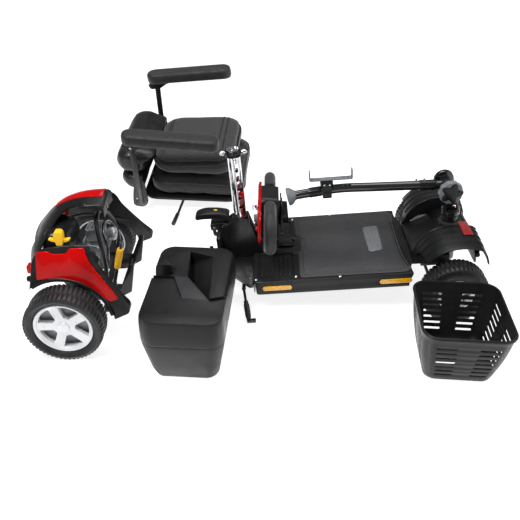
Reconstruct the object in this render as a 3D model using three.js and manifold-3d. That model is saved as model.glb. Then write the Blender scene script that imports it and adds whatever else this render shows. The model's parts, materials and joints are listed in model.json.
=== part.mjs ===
// A travel mobility scooter taken apart for transport: front chassis with the tiller folded down,
// rear drive unit, battery box, basket and seat, standing side by side on one floor.
// Millimetres, +Z up, +X forward, +Y to the scooter's left. The origin is on the floor, below the
// centre of the whole layout.
import * as THREE from "three";
import { mergeVertices } from "three/addons/utils/BufferGeometryUtils.js";
import Module from "manifold-3d";

const wasm = await Module();
wasm.setup();

// ---- driving dimensions ----
const GAP = 0.4; // clearance between neighbouring pieces
const WHEEL_SIDES = 18;

// Where each section stands: the origin of its own frame, in millimetres, and its angle in degrees.
const FRONT = { at: [-36, -198.6, 120], pitch: 4.8 }; // rear edge of the deck, nose up
const REAR = { at: [-616, -382.6, 0], yaw: 0 }; // floor below the rear axle
const BATTERY = { at: [-228, -572.6, 0], yaw: -3.4 }; // centre of the box's foot
const BASKET = { at: [607, -648.1, 0], yaw: -4 }; // centre of the basket's floor
const SEAT = { at: [-312, 527.4, 5], roll: 8.5, yaw: -3.4 }; // foot of the seat's swivel socket

const DECK = { length: 560, half: 217, skirt: 53, skin: 4 };
const FRONT_WHEEL = { x: 681, y: 241.5, z: -65.6, r: 112, width: 74, rim: 62, hub: 15 };
const KINGPIN_Y = 186;
const RAIL_Y = 78;
const COLUMN_X = 713;
const FOLD = { x: 690, z: 214 }; // hinge line of the folding tiller
const STEM_R = 16;
const HEAD = { x: 72, z: 154, half: 194, grip: 21, housing: 64 };
const HORN = { y: -114, z: -4, r: 8 };
const POST = { x: -35, r: 22.5, bottom: 30, top: 404 };
const TOWER_TOP = 152;
const STAND = { x: -34, z: -36, half: 196 };

const REAR_WHEEL = { y: 252.5, z: 124.5, r: 124.5, width: 85, rim: 92, hub: 17 };
const LOCK = { x: 126, y: -108, z: 160, lean: 0.27 }; // foot of the lock bar
const LEVER = { x: 1, y: -160, z: 306 }; // hinge of the freewheel lever
const SHELF = { top: 319, inner: 140, outer: 188, front: 74 };
const SHROUD = { half: 240, skin: 4, crown: 94, bulge: 38, brow: 30 };
// The flanks lean inwards and back as they rise: the share of the height above the lean's foot.
const LEAN = { foot: 130, inward: 0.24, down: 0.127, back: 0.07 };

const BATTERY_BOX = { length: 253, width: 400, seam: 146, height: 245 };
const BIN = { length: 272, width: 287, height: 200, taper: 0.76, wall: 3 };
const ARM = { half: 272, front: 145, rear: -253, width: 78, pivot: { x: -216, z: 388 } };
// How far each armrest is tipped from level: the right one droops, the left one is part raised.
const ARM_PITCH = { right: -2, left: 7 };

// ---- colours and finishes ----
const finish = (color, roughness, metalness = 0) => ({ color, roughness, metalness });
const PLASTIC = finish(0x1c1d1f, 0.55);
const DARK_STEEL = finish(0x151517, 0.4, 0.6);
const MAT = finish(0x3a3b3d, 0.8);
const CHROME = finish(0xd8dadc, 0.12, 1);
const RUBBER = finish(0x17171a, 0.85);
const ALLOY = finish(0xc9cbce, 0.35, 0.7);
const CASTING = finish(0x8d9094, 0.5, 0.8);
const RED = finish(0xb00408, 0.18);
const YELLOW = finish(0xf2c200, 0.4);
const GREY = finish(0x7b8086, 0.5);
const FOAM = finish(0x161618, 0.9);
const FABRIC = finish(0x1a1a1c, 0.9);
const LENS = finish(0x9c0a0c, 0.2);

// ---- solids ----
function solid(geometry) {
  const bare = new THREE.BufferGeometry();
  const loose = geometry.index ? geometry.toNonIndexed() : geometry;
  bare.setAttribute("position", loose.getAttribute("position"));
  const merged = mergeVertices(bare, 1e-4);
  const faces = [];
  for (let i = 0; i < merged.index.count; i += 3) {
    const [a, b, c] = merged.index.array.slice(i, i + 3);
    if (a !== b && b !== c && c !== a) faces.push([a, b, c]);
  }
  const build = (list) =>
    new wasm.Manifold(
      new wasm.Mesh({
        numProp: 3,
        vertProperties: merged.attributes.position.array,
        triVerts: new Uint32Array(list.flat()),
      }),
    );
  const made = build(faces);
  return made.volume() > 0 ? made : build(faces.map(([a, b, c]) => [a, c, b]));
}

const join = (first, ...others) => others.reduce((sum, other) => sum.add(other), first);
const cut = (first, ...others) => others.reduce((rest, other) => rest.subtract(other), first);

function box([x0, y0, z0], [x1, y1, z1]) {
  const geometry = new THREE.BoxGeometry(x1 - x0, y1 - y0, z1 - z0);
  return solid(geometry.translate((x0 + x1) / 2, (y0 + y1) / 2, (z0 + z1) / 2));
}

// A straight round bar from a to b; a second radius makes it a cone.
function bar(a, b, radius, sides = 14, endRadius = radius) {
  const start = new THREE.Vector3(...a);
  const along = new THREE.Vector3(...b).sub(start);
  const geometry = new THREE.CylinderGeometry(endRadius, radius, along.length(), sides);
  const turn = new THREE.Quaternion();
  turn.setFromUnitVectors(new THREE.Vector3(0, 1, 0), along.clone().normalize());
  geometry.applyQuaternion(turn);
  const middle = start.addScaledVector(along, 0.5);
  return solid(geometry.translate(middle.x, middle.y, middle.z));
}

function pipe(a, b, outer, inner, sides = 18) {
  const reach = new THREE.Vector3(...b).sub(new THREE.Vector3(...a)).normalize();
  const from = new THREE.Vector3(...a).sub(reach).toArray();
  const to = new THREE.Vector3(...b).add(reach).toArray();
  return cut(bar(a, b, outer, sides), bar(from, to, inner, sides));
}

// A round tube bent along a smooth curve through the points.
function bend(points, radius, steps, sides = 10) {
  const path = new THREE.CatmullRomCurve3(points.map((p) => new THREE.Vector3(...p)));
  const section = new THREE.Shape();
  section.absarc(0, 0, radius, 0, Math.PI * 2);
  const options = { steps, extrudePath: path, curveSegments: sides / 2, bevelEnabled: false };
  return solid(new THREE.ExtrudeGeometry(section, options));
}

function outline(points) {
  return new THREE.Shape(points.map(([u, v]) => new THREE.Vector2(u, v)));
}

function roundedRectangle(length, width, radius) {
  const x = length / 2;
  const y = width / 2;
  const shape = new THREE.Shape();
  shape.absarc(x - radius, y - radius, radius, 0, Math.PI / 2);
  shape.absarc(radius - x, y - radius, radius, Math.PI / 2, Math.PI);
  shape.absarc(radius - x, radius - y, radius, Math.PI, Math.PI * 1.5);
  shape.absarc(x - radius, radius - y, radius, Math.PI * 1.5, Math.PI * 2);
  return shape;
}

// A flat shape given thickness along an axis: z takes (x, y), y takes (x, z), x takes (y, z).
function plate(shape, axis, from, to, steps = 1, curveSegments = 3) {
  const options = { depth: to - from, steps, curveSegments, bevelEnabled: false };
  const geometry = new THREE.ExtrudeGeometry(shape, options);
  if (axis === "z") return geometry.translate(0, 0, from);
  if (axis === "y") return geometry.rotateX(Math.PI / 2).translate(0, to, 0);
  const swap = new THREE.Matrix4().makeBasis(
    new THREE.Vector3(0, 1, 0),
    new THREE.Vector3(0, 0, 1),
    new THREE.Vector3(1, 0, 0),
  );
  return geometry.applyMatrix4(swap).translate(from, 0, 0);
}
const slab = (points, axis, from, to) => solid(plate(outline(points), axis, from, to));

// Moves each corner of a geometry by a rule.
function reshape(geometry, rule) {
  const place = geometry.getAttribute("position");
  const corner = new THREE.Vector3();
  for (let i = 0; i < place.count; i++) {
    corner.fromBufferAttribute(place, i);
    rule(corner);
    place.setXYZ(i, corner.x, corner.y, corner.z);
  }
  return geometry;
}

// An upright box with rounded corners; each level says its height and its size against the shape's.
function stack(length, width, radius, levels, curveSegments = 2, [x, y] = [0, 0]) {
  const steps = levels.length - 1;
  const shape = roundedRectangle(length, width, radius);
  const geometry = plate(shape, "z", 0, steps, steps, curveSegments);
  return solid(
    reshape(geometry, (p) => {
      const [height, sizeX, sizeY] = levels[Math.round(p.z)];
      p.set(x + p.x * sizeX, y + p.y * (sizeY ?? sizeX), height);
    }),
  );
}

// A turned piece: the profile is [radius, place along the axis] and closes on itself or on the axis.
function turned(profile, axis, [x, y, z], sides = 32) {
  const geometry = new THREE.LatheGeometry(
    profile.map(([r, h]) => new THREE.Vector2(r, h)),
    sides,
  );
  if (axis === "z") geometry.rotateX(Math.PI / 2);
  if (axis === "x") geometry.rotateZ(-Math.PI / 2);
  return solid(geometry.translate(x, y, z));
}

function part(group, name, piece, look, mirrored = false) {
  const { numProp, vertProperties, triVerts } = piece.getMesh();
  const corners = new Float32Array((vertProperties.length / numProp) * 3);
  for (let i = 0; i < corners.length / 3; i++)
    corners.set(vertProperties.subarray(i * numProp, i * numProp + 3), i * 3);
  const geometry = new THREE.BufferGeometry();
  geometry.setAttribute("position", new THREE.BufferAttribute(corners, 3));
  geometry.setIndex(new THREE.BufferAttribute(triVerts, 1));
  const faceted = geometry.toNonIndexed();
  faceted.computeVertexNormals();
  const mesh = new THREE.Mesh(faceted, new THREE.MeshStandardMaterial(look));
  mesh.name = name;
  if (mirrored) mesh.scale.y = -1;
  group.add(mesh);
}

const SIDES = [
  { word: "right", sign: -1 },
  { word: "left", sign: 1 },
];

// ---- wheels ----
// Each wheel is made at y = 0 with its outer face towards -Y.
function tyre({ r, width, rim }) {
  const half = width / 2;
  return turned(
    [
      [rim + GAP, -half * 0.66],
      [(rim + r) / 2, -half],
      [r - 8, -half * 0.9],
      [r, -half * 0.5],
      [r, half * 0.5],
      [r - 8, half * 0.9],
      [(rim + r) / 2, half],
      [rim + GAP, half * 0.66],
      [rim + GAP, -half * 0.66],
    ],
    "y",
    [0, 0, 0],
    WHEEL_SIDES,
  );
}

function rim({ width, rim: radius, hub }, spokes) {
  const half = width / 2;
  const face = -half * 0.66;
  const disc = turned(
    [
      [hub / 2 + GAP, face - 6],
      [hub + 10, face - 5],
      [radius - 10, face + 1],
      [radius, face - 5],
      [radius, half * 0.7],
      [radius - 6, half * 0.7],
      [radius - 8, face + 14],
      [hub + 10, face + 14],
      [hub + 6, half * 0.5],
      [hub / 2 + GAP, half * 0.5],
      [hub / 2 + GAP, face - 6],
    ],
    "y",
    [0, 0, 0],
    WHEEL_SIDES,
  );
  const windows = [];
  for (let i = 0; i < spokes; i++) {
    const window = new THREE.Shape();
    window.absarc(0, 0, radius - 15, -0.25, 0.25);
    window.absarc(0, 0, radius * 0.45, 0.14, -0.14, true);
    const geometry = plate(window, "y", -half, half * 0.4, 1, 1);
    windows.push(solid(geometry.rotateY(((i + 0.5) * Math.PI * 2) / spokes)));
  }
  return cut(disc, ...windows);
}

// ---- front section ----
// Its frame has x = 0, z = 0 at the rear edge of the deck's top face; x runs along the deck.
// The room that a front wheel sweeps as it steers, round its kingpin and outside the chassis.
function wheelWells() {
  const { x } = FRONT_WHEEL;
  const sweep = [[0, -200], [149, -200], [149, -42], [142, -18], [134, 2], [122, 22], [106, 41],
    [60, 50], [0, 50]];
  return SIDES.map(({ sign }) =>
    cut(turned(sweep, "z", [x, sign * KINGPIN_Y, 0], 36), box([500, -141, -201], [860, 141, 60])),
  );
}

function frontFrame() {
  const rails = [-RAIL_Y, RAIL_Y].map((y) => box([-15, y - 13, -50], [640, y + 13, -12]));
  const rear = slab(
    [[0, -205], [0, 205], [-14, 205], [-110, 90], [-110, -90], [-14, -205]],
    "z", -28, -12,
  );
  const dock = box([-122, -84, -50], [-109, 84, 104]);
  const hooks = SIDES.map(({ sign }) =>
    slab([[-122, 20], [-150, 34], [-152, 62], [-141, 62], [-138, 44], [-122, 40]], "y",
      sign * 62 - 4, sign * 62 + 4),
  );
  const beam = box([664, -166, -84], [698, 166, -52]);
  const neck = box([600, -91, -60], [700, 91, -20]);
  const headset = bar([COLUMN_X, 0, -84], [COLUMN_X, 0, 96], 27, 20);
  const lugs = SIDES.map(({ sign }) =>
    join(
      box([668, sign * 168 - 18, -88], [694, sign * 168 + 18, -80]),
      bar([681, sign * KINGPIN_Y, -88], [681, sign * KINGPIN_Y, -80], 13, 16),
    ),
  );
  const body = join(rear, ...rails, dock, ...hooks, beam, neck, headset, ...lugs);
  const bores = SIDES.map(({ sign }) =>
    bar([681, sign * KINGPIN_Y, -100], [681, sign * KINGPIN_Y, -40], 8.4, 16),
  );
  return cut(body, bar([COLUMN_X, 0, -120], [COLUMN_X, 0, 120], 20.6, 16), ...bores);
}

function deckTray() {
  const { length, half, skirt, skin } = DECK;
  const shape = roundedRectangle(length, half * 2, 16);
  const outer = solid(plate(shape, "z", -skirt, 0).translate(length / 2, 0, 0));
  const inner = roundedRectangle(length - skin * 2, half * 2 - skin * 2, 12);
  const hollow = solid(plate(inner, "z", -skirt - 1, -8).translate(length / 2, 0, 0));
  const pockets = [[-189, -39], [73, 185]].map(([from, to]) => box([76, from, -6], [145, to, 1]));
  const rails = [-RAIL_Y, RAIL_Y].map((y) =>
    box([-1, y - 13.5, -60], [length + 1, y + 13.5, -11.5]),
  );
  const rearCross = box([-1, -205.5, -60], [skin + 1, 205.5, -11]);
  return cut(outer, hollow, ...pockets, ...rails, rearCross, ...wheelWells());
}

function deckMat() {
  const mat = slab(
    [[158, -206], [158, 60], [70, 60], [70, 68], [4, 68], [4, 206], [70, 206], [70, 192], [152, 192],
      [158, 206], [530, 206], [548, 196], [534, 120], [532, 0], [534, -120], [548, -196], [530, -206]],
    "z", 0.3, 2.6,
  );
  return cut(mat, box([416, -70, 0], [468, 99, 4]), ...wheelWells());
}

function frontShroud() {
  const { half: deckHalf } = DECK;
  const lip = 232;
  const inner = 97;
  // Side view of the arched band over a wheel, from the deck to the nose.
  const arch = (lift) => [
    [561, -50], [560, -18 + lift * 0.2], [572, 22 + lift * 0.4], [594, 56 + lift * 0.7],
    [620, 80 + lift], [655, 98 + lift], [700, 104 + lift], [745, 98 + lift], [775, 84 + lift],
    [790, 40 + lift], [795, -20], [793, -60],
  ];
  const band = (from, to, lift) =>
    solid(plate(outline([...arch(lift), [760, -60]]), "y", from, to));
  const floor = slab(
    [[561, -50], [561, 4], [596, 14], [645, 34], [676, 60], [735, 66], [775, 60], [790, 20],
      [792, -60]],
    "y", -inner - 1, inner + 1,
  );
  const outer = join(floor, ...SIDES.map(({ sign }) =>
    sign < 0 ? band(-lip, -inner, 6) : band(inner, lip, 6)));
  const hollow = join(
    slab([[566, -80], [566, -1], [598, 9], [648, 29], [678, 55], [733, 61], [771, 55], [785, 16],
      [787, -80]], "y", -inner - 4, inner + 4),
    ...SIDES.map(({ sign }) => {
      const shape = outline([[566, -90], ...arch(2).slice(1, 11).map(([x, z]) => [
        675 + (x - 675) * 0.962, z - 5]), [788, -90]]);
      return sign < 0
        ? solid(plate(shape, "y", -lip + 4, -inner - 4))
        : solid(plate(shape, "y", inner + 4, lip - 4));
    }),
  );
  // The wheel stands in an arch that opens to the side and below.
  const openings = SIDES.map(({ sign }) => {
    const shape = outline([[568, -90], ...arch(0).slice(1, 11).map(([x, z]) => [
      675 + (x - 675) * 0.95, z - 6]), [784, -90]]);
    return sign < 0
      ? solid(plate(shape, "y", -lip - 2, -150))
      : solid(plate(shape, "y", 150, lip + 2));
  });
  const columnHole = bar([COLUMN_X, 0, 0], [COLUMN_X, 0, 120], 34, 18);
  const below = box([540, -deckHalf - 60, -120], [820, deckHalf + 60, -54]);
  const deckCorner = box([550, -lip - 5, -120], [560.6, lip + 5, 30]);
  const railPass = box([555, -93, -60], [570, 93, -8]);
  return cut(outer, hollow, ...openings, columnHole, below, deckCorner, railPass,
    ...wheelWells());
}

function postTower() {
  const tube = bar([POST.x, 0, -11.5], [POST.x, 0, TOWER_TOP], 30, 18);
  const gussets = SIDES.map(({ sign }) =>
    slab([[-106, -11.5], [-106, 104], [-70, 138], [-34, 146], [-8, 146], [14, 72], [34, 8], [34, 3],
      [-1, 3], [-1, -11.5]], "y", sign * 30 - 3, sign * 30 + 3),
  );
  const latchBox = box([-144, -22, 104], [-62, 22, 130]);
  const bridge = box([-100, -33, 96], [-60, 33, 126]);
  const bore = bar([POST.x, 0, 0], [POST.x, 0, TOWER_TOP + 1], POST.r + GAP, 18);
  return cut(join(tube, ...gussets, latchBox, bridge), bore);
}

function seatPost() {
  const tube = pipe([POST.x, 0, POST.bottom], [POST.x, 0, POST.top], POST.r, POST.r - 3, 18);
  const holes = [190, 225, 260, 295, 330, 365].map((z) =>
    bar([POST.x, 0, z], [POST.x + 40, 0, z], 5, 8),
  );
  return cut(tube, ...holes);
}

function postCollar() {
  const inner = POST.r + GAP;
  const ring = pipe([POST.x, 0, POST.top - 22], [POST.x, 0, POST.top - 3], 29, inner, 18);
  const lugs = [-1, 1].map((sign) =>
    bar([POST.x + sign * 24, 0, POST.top - 13], [POST.x + sign * 40, 0, POST.top - 13], 7, 12),
  );
  const clear = bar([POST.x, 0, 300], [POST.x, 0, 420], inner, 18);
  return cut(join(ring, ...lugs), clear);
}

function releasePaddle() {
  const side = outline([
    [-84, 146], [-76, 150], [-72, 160], [-78, 168], [-110, 175], [-160, 178], [-188, 172],
    [-196, 162], [-192, 152], [-170, 156], [-120, 155],
  ]);
  return solid(plate(side, "y", -25, 25));
}

function supportStand() {
  const { x, z, half } = STAND;
  const cross = bar([x, -half, z], [x, half, z], 7, 12);
  const legs = SIDES.map(({ sign }) => {
    const top = [x, sign * half, z];
    const knee = [x + 5, sign * (half + 34), z - 28];
    const foot = [x + 13, sign * (half + 84), -112];
    return join(
      bar(top, knee, 5, 8),
      solid(new THREE.SphereGeometry(8, 8, 6).translate(...top)),
      bar(knee, foot, 8, 10),
      box([foot[0] - 6, foot[1] - 8, -116], [foot[0] + 24, foot[1] + 8, -109]),
    );
  });
  return join(cross, ...legs);
}

function steeringYoke() {
  const column = bar([COLUMN_X, 0, -96], [COLUMN_X, 0, 150], 19.6, 16);
  const cap = bar([COLUMN_X, 0, 98], [COLUMN_X, 0, 112], 31, 16);
  const arm = slab([[COLUMN_X - 10, -13], [COLUMN_X - 10, 13], [COLUMN_X - 64, 9],
    [COLUMN_X - 64, -9]], "z", -100, -92);
  const cheeks = SIDES.map(({ sign }) =>
    slab([[COLUMN_X + 18, 140], [COLUMN_X + 18, 160], [FOLD.x + 22, FOLD.z + 6],
      [FOLD.x + 6, FOLD.z + 24], [FOLD.x - 14, FOLD.z + 20], [FOLD.x - 24, FOLD.z],
      [FOLD.x - 18, FOLD.z - 18], [COLUMN_X - 22, 140]], "y", sign * 27 - 5, sign * 27 + 5),
  );
  const base = box([COLUMN_X - 24, -32, 128], [COLUMN_X + 20, 32, 150]);
  const bolt = bar([FOLD.x, -46, FOLD.z], [FOLD.x, 40, FOLD.z], 5.5, 12);
  const dome = turned([[0, 0], [34, 0], [36, 12], [28, 26], [14, 34], [0, 36]], "y",
    [FOLD.x, 33, FOLD.z], 16);
  return join(column, cap, arm, base, ...cheeks, bolt, dome);
}

function foldKnob() {
  const shape = new THREE.Shape();
  const lobes = 6;
  for (let i = 0; i < lobes * 6; i++) {
    const angle = (i / (lobes * 6)) * Math.PI * 2;
    const radius = 39 + 4.5 * Math.cos(angle * lobes);
    const point = [radius * Math.cos(angle), radius * Math.sin(angle)];
    if (i) shape.lineTo(...point);
    else shape.moveTo(...point);
  }
  const star = solid(plate(shape, "y", -74, -46).translate(FOLD.x, 0, FOLD.z));
  const hub = bar([FOLD.x, -47, FOLD.z], [FOLD.x, -33, FOLD.z], 20, 20);
  return cut(join(star, hub), bar([FOLD.x, -48, FOLD.z], [FOLD.x, -30, FOLD.z], 6, 12));
}

function knuckle() {
  const { x, y, z } = FRONT_WHEEL;
  const pin = bar([x, -KINGPIN_Y, -108], [x, -KINGPIN_Y, -34], 8, 16);
  const block = join(
    bar([x, -KINGPIN_Y, -51], [x, -KINGPIN_Y, -34], 15, 16),
    bar([x, -KINGPIN_Y, -104], [x, -KINGPIN_Y, -89], 15, 16),
    box([x - 12, -KINGPIN_Y - 22, -104], [x + 12, -KINGPIN_Y - 14.5, -34]),
    box([x - 12, -KINGPIN_Y - 16, -50], [x + 12, -KINGPIN_Y - 8, -35]),
    box([x - 12, -KINGPIN_Y - 16, -103], [x + 12, -KINGPIN_Y - 8, -90]),
  );
  const axle = bar([x, -KINGPIN_Y - 16, z], [x, -y - 30, z], 7.1, 16);
  const arm = slab([[x - 6, -KINGPIN_Y - 9], [x + 6, -KINGPIN_Y + 8], [x - 42, -KINGPIN_Y + 26],
    [x - 50, -KINGPIN_Y + 14]], "z", -104, -97);
  return join(pin, block, axle, arm);
}

function tieRod() {
  const { x } = FRONT_WHEEL;
  return join(
    bar([x - 46, -150, -113], [x - 46, 150, -113], 6, 12),
    ...SIDES.map(({ sign }) => bar([x - 46, sign * 156, -119], [x - 46, sign * 156, -107], 10, 16)),
  );
}

function tillerStem() {
  const eye = bar([FOLD.x, -21.5, FOLD.z], [FOLD.x, 21.5, FOLD.z], 18, 18);
  const straight = bar([FOLD.x - 6, 0, FOLD.z], [314, 0, 229], STEM_R, 16);
  const bent = bar([322, 0, 228.6], [150, 0, 211], STEM_R, 16);
  const boot = bar([168, 0, 213], [139, 0, 207.6], 18, 16, 32);
  const studs = [585, 612].map((x) => bar([x, 0, 222], [x, 0, 243], 7, 8, 3));
  const piece = join(eye, straight, bent, boot, ...studs);
  return cut(piece, bar([FOLD.x, -30, FOLD.z], [FOLD.x, 30, FOLD.z], 6, 16));
}

function accessoryClamp() {
  const middle = 276;
  const block = join(
    box([middle - 16, -24, 204], [middle + 16, 24, 260]),
    box([middle - 22, -14, 246], [middle + 22, 14, 262]),
  );
  return cut(block, bar([360, 0, 226.7], [200, 0, 234.7], STEM_R + 1.2, 20),
    bar([322, 0, 228.6], [150, 0, 211], STEM_R + 1.2, 20));
}

function accessoryBracket() {
  const from = 216;
  const to = 366;
  const strip = box([from, -11, 262.5], [to, 11, 267]);
  const hooks = [[from, -1], [to, 1]].map(([x, way]) =>
    slab([[x, 262.5], [x, 300], [x - way * 5, 300], [x - way * 5, 267], [x - way * 12, 262.5]],
      "y", -11, 11),
  );
  return join(strip, ...hooks);
}

// ---- tiller head ----
// Its frame sits at the end of the stem, level with the floor; the rider's side faces -X.
// Half of the closed grip loop, from the housing's right flank round and back to it.
function loopGrip() {
  const { half, grip, housing } = HEAD;
  const start = housing + GAP;
  return bend(
    [[0, -start, 59], [0, -start - 30, 60], [0, -half * 0.86, 52], [0, -half, 0],
      [0, -half * 0.86, -52], [0, -start - 30, -60], [0, -start, -59]],
    grip, 22, 10,
  );
}

function headHousing() {
  const { housing } = HEAD;
  const shell = solid(plate(roundedRectangle(housing * 2, 166, 12), "x", -30, 34));
  const snout = bar([30, 0, -2], [64, 0, 2], 40, 20, 36);
  return join(shell, snout);
}

function headCover() {
  const shape = roundedRectangle(306, 124, 44);
  const size = [1, 1, 0.95, 0.86];
  const depth = [-30.4, -36, -40, -42];
  const cover = solid(
    reshape(plate(shape, "x", 0, 3, 3), (p) => {
      const step = Math.round(p.x);
      p.set(depth[step], p.y * size[step], p.z * size[step]);
    }),
  );
  return cut(cover, bar([-45, HORN.y, HORN.z], [-33, HORN.y, HORN.z], HORN.r + 0.6, 16));
}

// The lever's two wings reach out behind the loop, on a ring round the housing's snout.
function throttleLever() {
  const ring = pipe([37.5, 0, -1], [43.5, 0, -1], 52, 42.5, 18);
  const wings = SIDES.map(({ sign }) =>
    slab([[sign * 48, -12], [sign * 48, 12], [sign * 150, -2], [sign * 154, -16], [sign * 142, -22]],
      "x", 37.5, 43.5),
  );
  return join(ring, ...wings);
}

function speedDial() {
  return join(
    bar([-42.5, -74, 16], [-45, -74, 16], 17, 16),
    bar([-44, -74, 16], [-56, -74, 16], 13, 16, 11),
  );
}

function ignitionKey() {
  return join(
    bar([-42.5, -24, 30], [-47, -24, 30], 8, 12),
    box([-62, -26, 19], [-46, -22, 41]),
  );
}

const hornButton = () =>
  bar([-37.5, HORN.y, HORN.z], [-51, HORN.y, HORN.z], HORN.r, 14, HORN.r - 1);

// ---- rear drive unit ----
// Takes a point drawn on an upright flank to the shroud's real surface: leaned in, crowned along
// its top, bulged behind and drawn forward at the middle of its front rim.
function shroudRule(p, inset = 0) {
  const height = p.z - LEAN.foot;
  const share = Math.min(1, Math.abs(p.y) / SHROUD.half);
  const across = 1 - share ** 2;
  const ridge = 1 - share ** 1.25;
  const high = THREE.MathUtils.clamp((p.z - 240) / 140, 0, 1);
  const back = THREE.MathUtils.clamp((90 - p.x) / 150, 0, 1);
  const ahead = THREE.MathUtils.clamp((p.x - 20) / 80, 0, 1) * high;
  const crown = Math.max(10, SHROUD.crown - 0.0037 * Math.min(0, p.x - 100) ** 2);
  return p.set(
    p.x - LEAN.back * height - SHROUD.bulge * across * back + SHROUD.brow * across * ahead,
    p.y - Math.sign(p.y) * share * LEAN.inward * height,
    p.z - LEAN.down * height + (crown - inset * 0.3) * ridge * high,
  );
}

function shroudShape(side, inset) {
  const half = SHROUD.half - inset;
  return reshape(plate(outline(side), "y", -half, half, 10), (p) => shroudRule(p, inset));
}

function rearShroud() {
  const wheelArc = (radius, from, to, steps) => {
    const points = [];
    for (let i = 0; i <= steps; i++) {
      const angle = THREE.MathUtils.degToRad(from + ((to - from) * i) / steps);
      points.push([radius * Math.cos(angle), REAR_WHEEL.z + radius * Math.sin(angle)]);
    }
    return points;
  };
  const side = [
    [-99, 234], [-84, 290], [-72, 345], [-52, 372], [-10, 386], [50, 394], [100, 394], [116, 372],
    [122, 335], [144, 290], [176, 226], [206, 178], [200, 152], [152, 130],
    ...wheelArc(152, 6, 126, 8),
  ];
  const inside = [
    [-140, 120], [-82, 250], [-76, 300], [-66, 342], [-48, 366], [-8, 381], [50, 389], [150, 390],
    [260, 330], [260, 60], [-140, 60],
  ];
  const outer = solid(shroudShape(side, 0));
  const hollow = solid(shroudShape(inside, SHROUD.skin));
  // The hand slot behind the carrying band, and the open window on each flank, seen from above.
  const flankWindow = [[-58, 172], [-40, 110], [-22, 66], [-6, 50], [54, 46], [58, 56], [150, 56],
    [150, 172]];
  const slot = box([-170, -130, 300], [-90, 130, 336]);
  const windows = SIDES.map(({ sign }) =>
    slab(flankWindow.map(([x, y]) => [x, sign * y]), "z", SHELF.top + 8, 470),
  );
  const shelves = SIDES.map(({ sign }) => {
    const [near, far] = [sign * SHELF.inner, sign * (SHELF.outer - 1.5)];
    return box([0, Math.min(near, far), SHELF.top - 6], [SHELF.front, Math.max(near, far), SHELF.top]);
  });
  const leverSlot = box([LEVER.x - 26, LEVER.y - 10, SHELF.top - 8],
    [LEVER.x + 26, LEVER.y + 10, SHELF.top + 2]);
  return cut(join(cut(outer, hollow, slot, ...windows), ...shelves), leverSlot);
}

// The smooth cover over the motor, seen through the right flank's window.
function motorCover() {
  return stack(62, 134, 26, [[272, 1], [308, 1], [330, 0.92, 0.95], [345, 0.76, 0.86],
    [352, 0.56, 0.72]], 2, [-33, -69]);
}

function sidePanel() {
  const y = SHROUD.half + GAP;
  const edge = outline([[-53, 372], [-30, 376], [-16, 366], [44, 370], [52, 384], [97, 388],
    [96, 368], [106, 332], [129, 289], [172, 206], [150, 196], [131, 207], [101, 244], [66, 270],
    [25, 281], [-20, 283], [-68, 273], [-62, 320]]);
  return solid(reshape(plate(edge, "y", -y - 2.6, -y), (p) => shroudRule(p)));
}

// The red trim on the crown widens from the carrying band to the shroud's front rim.
function topTrim() {
  const rear = -6;
  const middle = 50;
  const front = 100;
  const strip = outline([[rear, 0], [middle, 0], [front, 0], [front, 3], [middle, 3], [rear, 3]]);
  return solid(
    reshape(plate(strip, "y", -48, 48, 2), (p) => {
      const lift = p.z;
      p.y *= 0.62 + (0.38 * (p.x - rear)) / (front - rear);
      p.z = 386 + 8 * THREE.MathUtils.clamp((p.x + 10) / 60, 0, 1);
      shroudRule(p);
      p.z += lift + 2;
    }),
  );
}

function rearFrame() {
  const { z } = REAR_WHEEL;
  const axleTube = SIDES.map(({ sign }) =>
    bar([0, sign * 78, z], [0, sign * 200, z], 24, 16),
  );
  const cheeks = SIDES.map(({ sign }) =>
    slab([[-30, z - 26], [-34, z + 20], [-70, 250], [-60, 268], [-16, 200], [30, z + 40],
      [150, z + 30], [184, 236], [198, 236], [178, z + 4], [120, z - 30], [30, z - 34]],
      "y", sign * 92 - 4, sign * 92 + 4),
  );
  const crossBars = [[-64, 258], [150, z + 8], [84, z - 22]].map(([x, height]) =>
    bar([x, -94, height], [x, 94, height], 10, 12),
  );
  const foot = box([52, -46, 0], [104, 46, 12]);
  const legs = SIDES.map(({ sign }) =>
    box([62, sign * 36 - 6, 8], [92, sign * 36 + 6, z - 14]),
  );
  const hoop = bend(
    [[96, -96, z + 20], [106, -98, 220], [96, -78, 320], [82, -40, 366], [78, 0, 376],
      [82, 40, 366], [96, 78, 320], [106, 98, 220], [96, 96, z + 20]],
    8, 14, 6,
  );
  const link = box([88, -102, z + 14], [112, 102, z + 30]);
  const bore = bar([0, -210, z], [0, 210, z], 10.4, 16);
  return cut(join(...cheeks, ...crossBars, foot, ...legs, ...axleTube, hoop, link), bore);
}

function transaxle() {
  const { z } = REAR_WHEEL;
  const gearbox = turned([[10.6, -74], [40, -74], [56, -50], [58, -8], [44, 30], [30, 60], [30, 76],
    [10.6, 76], [10.6, -74]], "y", [0, 0, z], 18);
  const housing = cut(box([-8, -66, z - 10], [62, -10, z + 78]),
    bar([0, -100, z], [0, 100, z], 20, 20));
  return join(gearbox, housing);
}

function motor() {
  const { z } = REAR_WHEEL;
  return join(
    turned([[0, 0], [40, 0], [43, 8], [43, 110], [36, 122], [20, 128], [0, 128]], "y",
      [36, -66 + 56.6, z + 92], 18),
  );
}

function axleShaft() {
  const { y, z, hub } = REAR_WHEEL;
  return bar([0, -y - 26, z], [0, y + 26, z], hub / 2 - 0.6, 16);
}

function freewheelLever() {
  const { x, y, z } = LEVER;
  const side = [[-9, 50], [-14, 62], [-15, 90], [-8, 99], [8, 99], [15, 90], [14, 62], [9, 50]];
  return join(
    bar([x, y, z], [x, y, z + 54], 6, 12),
    slab(side.map(([u, v]) => [x + u, z + v]), "y", y - 11, y + 9),
    box([x - 36, y - 6, z + 60], [x + 36, y + 4, z + 71]),
  );
}

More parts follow.
